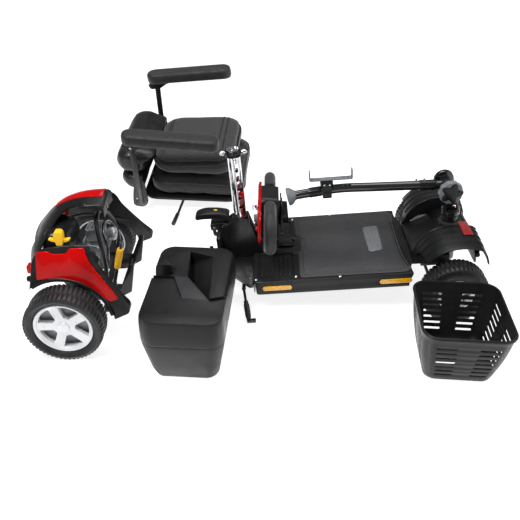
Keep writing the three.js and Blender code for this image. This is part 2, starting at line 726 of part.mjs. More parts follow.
function lockBar() {
  const { x, y, z, lean } = LOCK;
  return join(
    bar([x, y, z], [x + 62 * lean, y, z + 62], 6, 12),
    bar([x + 58 * lean, y, z + 58], [x + 176 * lean, y, z + 176], 5, 12),
    bar([x, y - 7, z], [x, y + 7, z], 12, 16),
    bar([x + 174 * lean, y + 10, z + 174], [x + 174 * lean, y - 10, z + 174], 5.5, 12),
  );
}

function lockGrip() {
  const { x, y, z, lean } = LOCK;
  return pipe([x + 66 * lean, y, z + 66], [x + 140 * lean, y, z + 140], 11, 5 + GAP, 16);
}

// ---- battery box ----
function batteryCase() {
  const { length, width, seam } = BATTERY_BOX;
  const outer = stack(length, width, 44, [[0, 0.8, 0.87], [8, 0.82, 0.88], [80, 0.92, 0.95],
    [seam, 1]]);
  const hollow = stack(length - 8, width - 8, 40, [[5, 0.79, 0.86], [80, 0.92, 0.95],
    [seam + 1, 1]]);
  return cut(outer, hollow);
}

function batteryCover() {
  const { length, width, seam, height } = BATTERY_BOX;
  const outer = stack(length, width, 44, [[seam + GAP, 1], [200, 0.995], [225, 0.985, 0.99],
    [239, 0.96, 0.975], [height, 0.92, 0.95]]);
  const hollow = stack(length - 8, width - 8, 40, [[seam, 1], [170, 0.985], [176, 0.92]]);
  // A finger recess on the left and a scoop on the right leave a handle bar between them, with a
  // way through below it. The near part of the top is lower.
  const floor = 180;
  const above = height + 5;
  const recess = slab([[-140, 20], [-140, 80], [-52, 80], [-52, 20]], "z", floor, above);
  const ramp = slab([[-40, floor - 10], [-40, floor + 4], [-14, floor + 4], [68, height],
    [80, height + 9], [80, floor - 10]], "y", -100, 180);
  const scoop = cut(
    slab([[-22, 162], [-8, 21], [74, -85], [57, 134]], "z", floor, above), ramp);
  const way = box([-60, 34, floor + 4], [0, 66, floor + 34]);
  const lowered = slab([[-140, 20.5], [-52, 19], [-13, -76], [74, -85], [140, -60], [140, -210],
    [-140, -210]], "z", height - 10, above);
  return cut(outer, hollow, recess, scoop, way, lowered);
}

function batteryPack() {
  return join(
    box([-86, -150, 8], [86, -2, 166]),
    box([-86, 2, 8], [86, 150, 166]),
    box([-60, -8, 60], [60, 8, 120]),
  );
}

// ---- basket ----
function basket() {
  const { length, width, height, taper, wall } = BIN;
  const outer = stack(length, width, 44, [[0, taper, taper * 0.93], [height - 12, 0.985],
    [height - 12, 1.0], [height, 1.0]]);
  const hollow = stack(length - wall * 2, width - wall * 2, 42, [[wall, taper * 0.99, taper * 0.92],
    [height - 12, 0.985], [height + 1, 0.995]]);
  const slots = [];
  const rows = 6;
  for (let row = 0; row < rows; row++) {
    const z = 30 + row * 24;
    for (const side of [-1, 1]) {
      const from = side < 0 ? -78 : 8;
      slots.push(box([from, -width, z], [from + 70, width, z + 9]));
      slots.push(box([-length, from, z], [length, from + 70, z + 9]));
    }
  }
  return cut(outer, hollow, ...slots);
}

// ---- seat ----
function seatSocket() {
  const tube = pipe([0, 0, 0], [0, 0, 72], 28, 23.2, 18);
  const turntable = cut(bar([0, 0, 60], [0, 0, 72], 70, 18), bar([0, 0, 50], [0, 0, 73], 23.2, 24));
  const brackets = [-1, 1].map((sign) => box([sign * 44 - 14, -150, 66], [sign * 44 + 14, 150, 72]));
  const clear = bar([0, 0, 50], [0, 0, 73], 23.2, 18);
  return cut(join(tube, turntable, ...brackets), clear);
}

function seatPan() {
  return stack(440, 440, 60, [[72.4, 0.94], [80, 1], [90, 1]]);
}

function seatCushion() {
  return stack(470, 450, 80, [[90.6, 0.93], [108, 1], [150, 1], [172, 0.95], [182, 0.84]], 3,
    [25, 0]);
}

function backrestPad() {
  return stack(400, 420, 90, [[188, 0.84], [200, 0.95], [222, 1], [244, 0.96], [252, 0.9]], 3,
    [6, 0]);
}

function backrestShell() {
  const shell = stack(396, 416, 90, [[252.5, 0.9], [266, 0.88], [272, 0.8]], 3, [6, 0]);
  const ears = SIDES.map(({ sign }) =>
    slab([[-222, 150], [-240, 168], [-240, 262], [-120, 268], [-120, 254], [-204, 252], [-204, 160]],
      "y", sign * 214 - 3, sign * 214 + 3),
  );
  const strap = box([-152, -217, 256], [-122, 217, 264]);
  // The lumbar roll bulges out behind the folded backrest.
  const roll = slab([[-198, 256], [-160, 256], [-160, 268], [-208, 292], [-240, 305],
    [-290, 300], [-322, 276], [-334, 240], [-322, 206], [-290, 191], [-240, 190], [-206, 200]],
    "y", -206, 206);
  return join(shell, strap, roll, ...ears);
}

// The arm's post stands on a bracket from the seat pan; the pad tips up about a pin at its top.
function armBar() {
  const y = -ARM.half;
  const { x, z } = ARM.pivot;
  const post = join(
    slab([[x - 12, 92], [x - 12, z - 22], [x - 7, z - 12], [x - 7, z + 7], [x + 7, z + 7],
      [x + 7, z - 12], [x + 12, z - 22], [x + 12, 92]], "y", y - 3, y + 3),
    box([x - 12, y + 2, 92], [x + 12, -190, 98]),
  );
  return cut(post, bar([x, y - 9, z], [x, y + 9, z], 4.5, 12));
}

// The pad's own frame has its pivot at the origin.
function armPad() {
  const length = ARM.front - ARM.rear;
  const middle = (ARM.front + ARM.rear) / 2 - ARM.pivot.x;
  const y = -ARM.half;
  const pad = stack(length, ARM.width, 34, [[16.5, 0.97, 0.8], [28, 1], [56, 1], [68, 0.95, 0.7]], 2,
    [middle, y]);
  const channel = slab([[-9, -8], [-12, 18], [140, 18], [140, 10], [12, -8]], "y", y - 8, y + 8);
  const slot = slab([[-20, -20], [-20, 10.6], [24, 10.6], [24, -20]], "y", y - 3.8, y + 3.8);
  return join(cut(join(pad, channel), slot), bar([0, y - 8, 0], [0, y + 8, 0], 4, 12));
}

function swivelLever() {
  return join(
    bar([-40, -90, 48], [-52, -300, 58], 6, 10),
    bar([-52, -292, 58], [-59, -366, 61], 9, 12),
  );
}

// ---- assembly ----
const scooter = new THREE.Group();

function section({ at, pitch = 0, yaw = 0, roll = 0 }, parent = scooter) {
  const group = new THREE.Group();
  group.position.set(...at);
  group.rotation.set(
    THREE.MathUtils.degToRad(roll),
    THREE.MathUtils.degToRad(-pitch),
    THREE.MathUtils.degToRad(yaw),
  );
  parent.add(group);
  return group;
}

const front = section(FRONT);
part(front, "front_frame", frontFrame(), DARK_STEEL);
part(front, "deck_tray", deckTray(), PLASTIC);
part(front, "deck_mat", deckMat(), MAT);
part(front, "front_shroud", frontShroud(), PLASTIC);
part(front, "post_tower", postTower(), DARK_STEEL);
part(front, "seat_post", seatPost(), CHROME);
part(front, "post_collar", postCollar(), PLASTIC);
part(front, "release_paddle", releasePaddle(), PLASTIC);
part(front, "support_stand", supportStand(), DARK_STEEL);
part(front, "steering_yoke", steeringYoke(), DARK_STEEL);
part(front, "fold_knob", foldKnob(), GREY);
part(front, "tie_rod", tieRod(), DARK_STEEL);
part(front, "tiller_stem", tillerStem(), DARK_STEEL);
part(front, "accessory_clamp", accessoryClamp(), PLASTIC);
part(front, "accessory_bracket", accessoryBracket(), GREY);
for (const { word, sign } of SIDES) {
  part(front, `front_knuckle_${word}`, knuckle(), DARK_STEEL, sign > 0);
  const { x, y, z } = FRONT_WHEEL;
  const wheel = section({ at: [x, sign * y, z] }, front);
  part(wheel, `front_tyre_${word}`, tyre(FRONT_WHEEL), RUBBER, sign > 0);
  part(wheel, `front_rim_${word}`, rim(FRONT_WHEEL, 5), ALLOY, sign > 0);
}

const head = section({ at: [HEAD.x, 0, HEAD.z], pitch: -FRONT.pitch }, front);
for (const { word, sign } of SIDES)
  part(head, `loop_grip_${word}`, loopGrip(), FOAM, sign > 0);
part(head, "head_housing", headHousing(), PLASTIC);
part(head, "head_cover", headCover(), RED);
part(head, "throttle_lever", throttleLever(), PLASTIC);
part(head, "speed_dial", speedDial(), GREY);
part(head, "ignition_key", ignitionKey(), CHROME);
part(head, "horn_button", hornButton(), LENS);

const rear = section(REAR);
part(rear, "rear_frame", rearFrame(), DARK_STEEL);
part(rear, "transaxle", transaxle(), CASTING);
part(rear, "motor", motor(), CASTING);
part(rear, "rear_axle", axleShaft(), CASTING);
part(rear, "rear_shroud", rearShroud(), PLASTIC);
part(rear, "motor_cover", motorCover(), PLASTIC);
part(rear, "top_trim", topTrim(), RED);
part(rear, "freewheel_lever", freewheelLever(), YELLOW);
part(rear, "lock_bar", lockBar(), DARK_STEEL);
part(rear, "lock_grip", lockGrip(), YELLOW);
for (const { word, sign } of SIDES) {
  part(rear, `side_panel_${word}`, sidePanel(), RED, sign > 0);
  const wheel = section({ at: [0, sign * REAR_WHEEL.y, REAR_WHEEL.z] }, rear);
  part(wheel, `rear_tyre_${word}`, tyre(REAR_WHEEL), RUBBER, sign > 0);
  part(wheel, `rear_rim_${word}`, rim(REAR_WHEEL, 5), ALLOY, sign > 0);
}

const battery = section(BATTERY);
part(battery, "battery_case", batteryCase(), PLASTIC);
part(battery, "battery_cover", batteryCover(), PLASTIC);
part(battery, "battery_pack", batteryPack(), GREY);

const basketGroup = section(BASKET);
part(basketGroup, "basket", basket(), PLASTIC);

const seat = section(SEAT);
part(seat, "seat_socket", seatSocket(), DARK_STEEL);
part(seat, "seat_pan", seatPan(), PLASTIC);
part(seat, "seat_cushion", seatCushion(), FABRIC);
part(seat, "backrest_pad", backrestPad(), FABRIC);
part(seat, "backrest_shell", backrestShell(), FABRIC);
part(seat, "swivel_lever", swivelLever(), DARK_STEEL);
for (const { word, sign } of SIDES) {
  part(seat, `arm_bar_${word}`, armBar(), DARK_STEEL, sign > 0);
  const { x, z } = ARM.pivot;
  const arm = section({ at: [x, 0, z], pitch: ARM_PITCH[word] }, seat);
  part(arm, `arm_pad_${word}`, armPad(), FOAM, sign > 0);
}

export default scooter;
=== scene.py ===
"""Looks for a travel mobility scooter taken apart: chassis with tiller, drive unit, battery, basket and seat.

Runs in Blender 4.5 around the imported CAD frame. Shapes are written in millimetres, each in the frame of its
own section (x forward, y to the scooter's left, z up). A section's matrix takes them to the shared frame, in
metres.
"""

import json
import math

import bmesh
import bpy
from mathutils import Matrix, Vector
from mathutils.bvhtree import BVHTree

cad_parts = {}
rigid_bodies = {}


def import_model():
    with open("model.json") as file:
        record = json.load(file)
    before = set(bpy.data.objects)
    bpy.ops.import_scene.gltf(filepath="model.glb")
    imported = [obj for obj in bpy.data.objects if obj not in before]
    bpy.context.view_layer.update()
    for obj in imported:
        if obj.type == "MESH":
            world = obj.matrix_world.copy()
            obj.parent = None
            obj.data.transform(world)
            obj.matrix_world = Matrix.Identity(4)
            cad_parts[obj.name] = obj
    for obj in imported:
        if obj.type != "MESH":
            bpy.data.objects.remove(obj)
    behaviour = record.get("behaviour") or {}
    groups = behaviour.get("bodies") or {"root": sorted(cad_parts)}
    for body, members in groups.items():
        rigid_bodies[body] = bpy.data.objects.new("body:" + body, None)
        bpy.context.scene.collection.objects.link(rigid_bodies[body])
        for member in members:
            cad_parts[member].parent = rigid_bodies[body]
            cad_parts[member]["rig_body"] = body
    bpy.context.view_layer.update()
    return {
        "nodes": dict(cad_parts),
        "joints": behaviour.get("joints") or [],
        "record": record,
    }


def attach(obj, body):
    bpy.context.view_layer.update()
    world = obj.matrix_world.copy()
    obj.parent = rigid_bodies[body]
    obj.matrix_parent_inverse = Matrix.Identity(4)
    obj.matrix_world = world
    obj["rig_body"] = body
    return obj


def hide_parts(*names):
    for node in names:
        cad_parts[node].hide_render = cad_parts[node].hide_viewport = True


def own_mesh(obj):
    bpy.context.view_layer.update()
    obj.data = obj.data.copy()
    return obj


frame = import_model()

MM = 0.001
JOINTS = {j["name"]: j for j in frame["joints"]}
MOUNTS = {m["name"]: m for m in frame["record"]["mounts"]}
SMOOTH_BELOW = math.radians(42)  # edges flatter than this are shaded smooth
SIDES = (("right", -1), ("left", 1))
MIRROR = Matrix.Diagonal((1, -1, 1, 1))


# ---- sections: each matrix takes a section's millimetres to the shared frame ----
def section(origin, up=(0, 0, 1), yaw=0.0):
    z = Vector(up).normalized()
    y = Vector((0, 1, 0))
    y = (y - z * y.dot(z)).normalized()
    turn = Matrix((y.cross(z), y, z)).transposed().to_4x4()
    return (Matrix.Translation(origin) @ turn @ Matrix.Rotation(math.radians(yaw), 4, "Z")
            @ Matrix.Scale(MM, 4))


COLUMN_X = 713  # the steering column, from the deck's rear edge
FOLD = (690, 0, 214)  # the middle of the tiller's fold axis
_up = Vector(JOINTS["steering"]["axis"])
_forward = Vector((0, 1, 0)).cross(_up)
FRONT = section(Vector(JOINTS["steering"]["pos_m"]) - _forward * COLUMN_X * MM, _up)
HEAD = Matrix.Translation(FRONT @ Vector((72, 0, 154))) @ Matrix.Scale(MM, 4)
_hub = Vector(JOINTS["rear_wheel_right_spin"]["pos_m"])
_other_hub = Vector(JOINTS["rear_wheel_left_spin"]["pos_m"])
REAR = section(((_hub.x + _other_hub.x) / 2, (_hub.y + _other_hub.y) / 2, 0))
BATTERY = section(MOUNTS["battery_floor"]["pos_m"], yaw=-3.4)
BASKET = section(MOUNTS["basket_floor"]["pos_m"], yaw=-4)
_seat_up = Vector(JOINTS["seat_swivel"]["axis"])
SEAT = section(Vector(JOINTS["seat_swivel"]["pos_m"]) - _seat_up * 70 * MM, _seat_up, yaw=-3.4)


def sided(place):
    """A section's matrix for each side: what is drawn for the right is mirrored for the left."""
    return [(word, place if sign < 0 else place @ MIRROR) for word, sign in SIDES]


# ---- shapes: lists of corners and faces, joined and moved before they become meshes ----
class Shape:
    def __init__(self, corners=(), faces=()):
        self.corners = [Vector(c) for c in corners]
        self.faces = [tuple(f) for f in faces]

    def __add__(self, other):
        step = len(self.corners)
        return Shape(self.corners + other.corners,
                     self.faces + [tuple(i + step for i in f) for f in other.faces])

    def moved(self, matrix):
        flip = matrix.determinant() < 0
        faces = [f[::-1] for f in self.faces] if flip else self.faces
        return Shape([matrix @ c for c in self.corners], faces)

    def bent(self, rule):
        return Shape([Vector(rule(c)) for c in self.corners], self.faces)


def joined(shapes):
    made = Shape()
    for shape in shapes:
        made += shape
    return made


def both(shape):
    """The shape and its mirror image across the section's middle."""
    return shape + shape.moved(MIRROR)


def turn_to(axis):
    """Takes a shape drawn along z to run along x or y."""
    if axis == "x":
        return Matrix(((0, 0, 1, 0), (1, 0, 0, 0), (0, 1, 0, 0), (0, 0, 0, 1)))
    if axis == "y":
        return Matrix(((1, 0, 0, 0), (0, 0, 1, 0), (0, 1, 0, 0), (0, 0, 0, 1)))
    return Matrix.Identity(4)


def rings(loops, looped=False):
    """A skin over loops of equal length; the ends are capped, or the last loop joins the first."""
    n = len(loops[0])
    corners = [c for loop in loops for c in loop]
    faces = []
    count = len(loops) if looped else len(loops) - 1
    for k in range(count):
        a, b = k * n, ((k + 1) % len(loops)) * n
        faces += [(a + i, a + (i + 1) % n, b + (i + 1) % n, b + i) for i in range(n)]
    if not looped:
        faces.append(tuple(range(n))[::-1])
        faces.append(tuple(len(corners) - n + i for i in range(n)))
    return Shape(corners, faces)


def rounded(points, radius=None, steps=4):
    """A closed outline with its corners rounded; a point may carry its own radius as a third value."""
    made = []
    n = len(points)
    for i, point in enumerate(points):
        here = Vector(point[:2])
        r = point[2] if len(point) > 2 else (radius or 0)
        before = Vector(points[i - 1][:2]) - here
        after = Vector(points[(i + 1) % n][:2]) - here
        reach = min(r, before.length * 0.48, after.length * 0.48)
        if reach < 0.2:
            made.append(here)
            continue
        a, b = here + before.normalized() * reach, here + after.normalized() * reach
        for k in range(steps + 1):
            t = k / steps
            made.append(a * (1 - t) ** 2 + here * 2 * t * (1 - t) + b * t**2)
    return made


def curve(points, per=6, closed=False):
    """A smooth line through the points."""
    knots = [Vector(p) for p in points]
    n = len(knots)
    made = []
    for i in range(n if closed else n - 1):
        p0 = knots[i - 1] if closed or i else knots[0] * 2 - knots[1]
        p1, p2 = knots[i], knots[(i + 1) % n]
        last = knots[-1] * 2 - knots[-2]
        p3 = knots[(i + 2) % n] if closed else (knots[i + 2] if i + 2 < n else last)
        for k in range(per):
            t = k / per
            made.append(0.5 * ((2 * p1) + (p2 - p0) * t + (2 * p0 - 5 * p1 + 4 * p2 - p3) * t**2
                               + (3 * p1 - p0 - 3 * p2 + p3) * t**3))
    if not closed:
        made.append(knots[-1])
    return made


def prism(outline, axis, start, end, steps=1):
    """A flat outline given thickness: z takes (x, y), y takes (x, z), x takes (y, z)."""
    loops = [[Vector((p[0], p[1], start + (end - start) * k / steps)) for p in outline]
             for k in range(steps + 1)]
    area = sum(a[0] * b[1] - b[0] * a[1] for a, b in zip(outline, outline[1:] + outline[:1]))
    shape = rings(loops)
    if (area < 0) != (start > end):
        shape.faces = [f[::-1] for f in shape.faces]
    return shape.moved(turn_to(axis))


def block(low, high, radius=0, axis="z"):
    order = {"x": (1, 2, 0), "y": (0, 2, 1), "z": (0, 1, 2)}[axis]
    (u0, v0, w0), (u1, v1, w1) = ([c[i] for i in order] for c in (low, high))
    outline = rounded([(u0, v0), (u1, v0), (u1, v1), (u0, v1)], radius)
    return prism(outline, axis, w0, w1)


def lathe(profile, centre, axis="y", sides=64, closed=False):
    """A turned shape: the profile is (radius, place along the axis)."""
    loops = []
    for radius, place in profile:
        loops.append([Vector((radius * math.cos(a), radius * math.sin(a), place))
                      for a in (2 * math.pi * i / sides for i in range(sides))])
    return rings(loops, closed).moved(Matrix.Translation(centre) @ turn_to(axis))


def tube(points, radius, sides=20, closed=False):
    """A round bar along a line of points; the radius may be one number or one for each point."""
    points = [Vector(p) for p in points]
    n = len(points)
    radii = radius if hasattr(radius, "__len__") else [radius] * n
    loops = []
    side = None
    for i, point in enumerate(points):
        ahead = points[(i + 1) % n] if closed or i + 1 < n else points[i]
        behind = points[i - 1] if closed or i else points[i]
        along = (ahead - behind).normalized()
        if side is None:
            side = along.orthogonal().normalized()
        side = (side - along * side.dot(along)).normalized()
        other = along.cross(side)
        loops.append([point + radii[i] * (side * math.cos(a) + other * math.sin(a))
                      for a in (2 * math.pi * k / sides for k in range(sides))])
    return rings(loops, closed)


def rod(a, b, radius, end_radius=None, sides=32):
    return tube([a, b], [radius, radius if end_radius is None else end_radius], sides)


def ball(centre, radius, sides=24):
    steps = sides // 2
    angles = [math.pi * (k + 0.02) / (steps + 0.04) for k in range(steps + 1)]
    return lathe([(radius * math.sin(a), -radius * math.cos(a)) for a in angles], centre, "z", sides)


def rounded_rectangle(length, width, radius, steps=8, centre=(0, 0)):
    x, y = length / 2 - radius, width / 2 - radius
    outline = []
    for cx, cy, start in ((x, y, 0), (-x, y, 90), (-x, -y, 180), (x, -y, 270)):
        for k in range(steps + 1):
            a = math.radians(start + 90 * k / steps)
            outline.append(Vector((centre[0] + cx + radius * math.cos(a),
                                   centre[1] + cy + radius * math.sin(a))))
    return outline


def stack(length, width, radius, levels, steps=8, centre=(0, 0)):
    """An upright rounded box; each level gives its height and its size against the outline's."""
    outline = rounded_rectangle(length, width, radius, steps)
    loops = []
    for height, size_x, *rest in levels:
        size_y = rest[0] if rest else size_x
        loops.append([Vector((centre[0] + p.x * size_x, centre[1] + p.y * size_y, height)) for p in outline])
    return rings(loops)


# ---- pieces ----
def mesh_of(name, shape):
    mesh = bpy.data.meshes.new(name)
    mesh.from_pydata([tuple(c) for c in shape.corners], [], shape.faces)
    mesh.validate()
    return mesh


def add_object(name, data):
    obj = bpy.data.objects.new(name, data)
    bpy.context.scene.collection.objects.link(obj)
    return obj


def dress(obj, look):
    obj.data.materials.clear()
    obj.data.materials.append(LOOKS[look])


def bake(obj):
    """Applies every modifier to the mesh itself."""
    bpy.context.view_layer.update()
    seen = obj.evaluated_get(bpy.context.evaluated_depsgraph_get())
    made = bpy.data.meshes.new_from_object(seen)
    obj.modifiers.clear()
    old, obj.data = obj.data, made
    bpy.data.meshes.remove(old)


def cut_out(obj, cutter, matrix):
    """Takes the cutter's shape out of the piece."""
    mesh = mesh_of("cutter", cutter)
    mesh.transform(matrix)
    tool = add_object("cutter", mesh)
    face_out(mesh)
    step = obj.modifiers.new("cut", "BOOLEAN")
    step.object, step.solver, step.use_self = tool, "EXACT", True
    bake(obj)
    bpy.data.objects.remove(tool)
    bpy.data.meshes.remove(mesh)


def face_out(mesh):
    bm = bmesh.new()
    bm.from_mesh(mesh)
    bmesh.ops.recalc_face_normals(bm, faces=bm.faces)
    bm.to_mesh(mesh)
    bm.free()


def soften(obj, width, steps=2, angle=32):
    step = obj.modifiers.new("edges", "BEVEL")
    step.width, step.segments = width * MM, steps
    step.limit_method, step.angle_limit = "ANGLE", math.radians(angle)
    step.use_clamp_overlap = True
    bake(obj)


def shade(obj, angle=SMOOTH_BELOW):
    obj.data.shade_smooth()
    obj.data.set_sharp_from_angle(angle=angle)


def piece(name, shape, place, look, body, slot=None, cuts=(), edge=0, steps=2, subdivide=0,
          angle=SMOOTH_BELOW, replaces=()):
    """One visible piece from a shape in its section's millimetres. Its slot argument is not used."""
    mesh = mesh_of(name, shape)
    mesh.transform(place)
    face_out(mesh)
    obj = add_object(name, mesh)
    for cutter in cuts:
        cut_out(obj, cutter, place)
    if edge:
        soften(obj, edge, steps)
    if subdivide:
        step = obj.modifiers.new("round", "SUBSURF")
        step.levels = step.render_levels = subdivide
        bake(obj)
    shade(obj, angle)
    dress(obj, look)
    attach(obj, body)
    if replaces:
        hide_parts(*replaces)
    return obj


def bound(place, body):
    """piece() for shapes drawn in one section and riding one body."""
    def make(name, shape, look, **more):
        return piece(name, shape, place, look, body, **more)
    return make


on_chassis = bound(FRONT, "chassis")
on_tiller = bound(FRONT, "tiller")
on_head = bound(HEAD, "tiller")
on_drive = bound(REAR, "drive_unit")


def refined(node, look, edge=0.8):
    """A finished copy of a CAD node: welded, its sharp edges softened and its round faces smooth."""
    source = frame["nodes"][node]
    bm = bmesh.new()
    bm.from_mesh(source.data)
    bmesh.ops.remove_doubles(bm, verts=bm.verts, dist=0.00002)
    bmesh.ops.dissolve_limit(bm, angle_limit=math.radians(1), verts=bm.verts, edges=bm.edges)
    mesh = bpy.data.meshes.new(node + "_finished")
    bm.to_mesh(mesh)
    bm.free()
    obj = add_object(node + "_finished", mesh)
    soften(obj, edge, angle=38)
    shade(obj)
    dress(obj, look)
    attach(obj, source["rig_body"])
    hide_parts(node)


# ---- materials ----
class Nodes:
    """A small hand for wiring a material's nodes."""

    def __init__(self, name):
        self.material = bpy.data.materials.new(name)
        self.material.use_nodes = True
        self.tree = self.material.node_tree
        self.shader = self.tree.nodes["Principled BSDF"]
        coords = self.tree.nodes.new("ShaderNodeTexCoord")
        self.place = coords.outputs["Object"]

    def node(self, kind, inputs=None, **settings):
        made = self.tree.nodes.new("ShaderNode" + kind)
        for key, value in settings.items():
            setattr(made, key, value)
        for key, value in (inputs or {}).items():
            self.feed(made, key, value)
        return made

    def feed(self, node, key, value):
        socket = node.inputs[key]
        if isinstance(value, bpy.types.NodeSocket):
            self.tree.links.new(value, socket)
        else:
            socket.default_value = value

    def noise(self, scale, detail=3.0, rough=0.5, stretch=None):
        place = self.place
        if stretch:
            place = self.node("Mapping", {"Vector": place, "Scale": stretch}).outputs["Vector"]
        return self.node("TexNoise", {"Vector": place, "Scale": scale, "Detail": detail,
                                      "Roughness": rough}).outputs["Fac"]

    def spread(self, value, low, high):
        """A noise value, mostly between 0.3 and 0.7, spread over a range."""
        return self.node("MapRange", {"Value": value, "From Min": 0.3, "From Max": 0.7, "To Min": low,
                                      "To Max": high}).outputs["Result"]

    def tint(self, value, dark, light):
        ramp = self.node("ValToRGB", {"Fac": value})
        ramp.color_ramp.elements[0].position, ramp.color_ramp.elements[1].position = 0.3, 0.7
        ramp.color_ramp.elements[0].color = (*dark, 1)
        ramp.color_ramp.elements[1].color = (*light, 1)
        return ramp.outputs["Color"]

    def bump(self, height, distance, strength=1.0, over=None):
        inputs = {"Height": height, "Distance": distance, "Strength": strength}
        if over is not None:
            inputs["Normal"] = over
        return self.node("Bump", inputs).outputs["Normal"]

    def set(self, **values):
        for key, value in values.items():
            self.feed(self.shader, key.replace("_", " "), value)


def shades(color, spread):
    return [tuple(c * (1 - spread) for c in color), tuple(min(1, c * (1 + spread)) for c in color)]


def moulded(name, color, rough=0.5, grain=1400, depth=0.00012, spread=0.18, specular=0.26):
    """Moulded plastic: a fine pebbled grain, slow changes of tone, and rubbed, shinier patches."""
    n = Nodes(name)
    broad = n.noise(9, 4)
    n.set(Base_Color=n.tint(broad, *shades(color, spread)))
    n.set(Roughness=n.spread(n.noise(26, 5, 0.6), rough - 0.07, rough + 0.09))
    pebble = n.node("TexVoronoi", {"Vector": n.place, "Scale": grain}).outputs["Distance"]
    fine = n.bump(pebble, depth, 0.55)
    n.set(Normal=n.bump(n.noise(35, 3), 0.0006, 0.12, fine))
    n.set(Specular_IOR_Level=specular)
    return n.material


def painted(name, color, rough=0.35, metallic=0.0, coat=0.0, spread=0.15):
    """Powder coat or paint: an orange-peel skin and faint scuffs."""
    n = Nodes(name)
    n.set(Base_Color=n.tint(n.noise(14, 4), *shades(color, spread)))
    scuffs = n.noise(120, 6, 0.7, stretch=(1, 1, 0.15))
    n.set(Roughness=n.spread(scuffs, rough - 0.06, rough + 0.1), Metallic=metallic)
    n.set(Normal=n.bump(n.noise(600, 2), 0.00012, 0.35))
    if coat:
        n.set(Coat_Weight=coat, Coat_Roughness=0.06)
    return n.material


def glossy(name, color, flake=True):
    """Deep lacquered panel: a clear coat over colour with a fine flake."""
    n = Nodes(name)
    deep = tuple(c * 0.55 for c in color)
    n.set(Base_Color=n.tint(n.noise(7, 3), deep, color))
    if flake:
        specks = n.node("TexVoronoi", {"Vector": n.place, "Scale": 2600}).outputs["Distance"]
        n.set(Roughness=n.spread(specks, 0.2, 0.34))
    else:
        n.set(Roughness=n.spread(n.noise(60, 3), 0.12, 0.22))
    n.set(Coat_Weight=0.22, Coat_Roughness=0.03, Specular_IOR_Level=0.12,
          Normal=n.bump(n.noise(22, 2), 0.0004, 0.06))
    return n.material


def metal(name, color, rough, cast=False):
    """Bare metal: polished with faint wipe marks, or sand-cast."""
    n = Nodes(name)
    n.set(Base_Color=n.tint(n.noise(30, 4), *shades(color, 0.1)), Metallic=1.0)
    streaks = n.noise(180, 4, 0.6)
    n.set(Roughness=n.spread(streaks, rough * 0.7, rough * 1.4))
    if cast:
        n.set(Normal=n.bump(n.noise(900, 4), 0.0005, 0.6))
    else:
        n.set(Normal=n.bump(streaks, 0.00005, 0.2))
    return n.material


def rubbery(name, color, rough=0.75, grain=900, depth=0.0002):
    """Rubber: dull, with faint dusty patches."""
    n = Nodes(name)
    dusty = tuple(c * 1.5 + 0.006 for c in color)
    n.set(Base_Color=n.tint(n.noise(45, 5, 0.65), color, dusty))
    n.set(Roughness=n.spread(n.noise(70, 4), rough - 0.1, rough + 0.08))
    n.set(Normal=n.bump(n.noise(grain, 3), depth, 0.5))
    return n.material


def foam(name, color):
    """Closed-cell foam sleeve or padded arm: soft cells with a faint bloom on the skin."""
    n = Nodes(name)
    n.set(Base_Color=n.tint(n.noise(30, 4), *shades(color, 0.25)))
    cells = n.node("TexVoronoi", {"Vector": n.place, "Scale": 700}).outputs["Distance"]
    n.set(Roughness=n.spread(n.noise(60, 4), 0.5, 0.72), Sheen_Weight=0.25, Sheen_Roughness=0.4)
    n.set(Normal=n.bump(cells, 0.00025, 0.6))
    return n.material


def woven(name, color, threads=1.3):
    """Nylon cloth: a plain weave of crossing threads, threads per millimetre each way, with a soft sheen."""
    n = Nodes(name)
    across = n.node("TexWave", {"Vector": n.place, "Scale": threads * 160, "Distortion": 0.4,
                                "Detail": 1.0}, bands_direction="X").outputs["Fac"]
    along = n.node("TexWave", {"Vector": n.place, "Scale": threads * 160, "Distortion": 0.4,
                               "Detail": 1.0}, bands_direction="Y").outputs["Fac"]
    weave = n.node("Math", {0: across, 1: along}, operation="MULTIPLY").outputs["Value"]
    n.set(Base_Color=n.tint(n.noise(16, 5, 0.6), *shades(color, 0.3)))
    n.set(Roughness=n.spread(n.noise(200, 3), 0.72, 0.9), Sheen_Weight=0.35, Sheen_Roughness=0.5)
    creases = n.bump(n.noise(24, 3, 0.55), 0.0035, 0.22)
    n.set(Normal=n.bump(weave, 0.0003, 0.5, creases))
    return n.material


def vinyl(name, color):
    """Coated cloth: a leather-like grain, soft creases and a satin shine."""
    n = Nodes(name)
    n.set(Base_Color=n.tint(n.noise(18, 4), *shades(color, 0.2)))
    grain = n.node("TexVoronoi", {"Vector": n.place, "Scale": 620},
                   feature="DISTANCE_TO_EDGE").outputs["Distance"]
    n.set(Roughness=n.spread(n.noise(40, 4), 0.3, 0.45))
    creases = n.bump(n.noise(20, 3, 0.5), 0.004, 0.2)
    n.set(Normal=n.bump(grain, 0.00025, 0.5, creases))
    return n.material


def matting(name, color):
    """Deck mat: a fine crossed grid pressed into rubbery plastic."""
    n = Nodes(name)
    bands = [n.node("TexWave", {"Vector": n.place, "Scale": 60, "Distortion": 0.0}, bands_direction=way)
             .outputs["Fac"] for way in ("X", "Y")]
    grid = n.node("Math", {0: bands[0], 1: bands[1]}, operation="MAXIMUM").outputs["Value"]
    n.set(Base_Color=n.tint(n.noise(12, 5, 0.6), *shades(color, 0.2)))
    n.set(Roughness=n.spread(n.noise(50, 4), 0.5, 0.68))
    n.set(Normal=n.bump(grid, 0.0002, 0.35, n.bump(n.noise(800, 3), 0.00015, 0.5)))
    return n.material


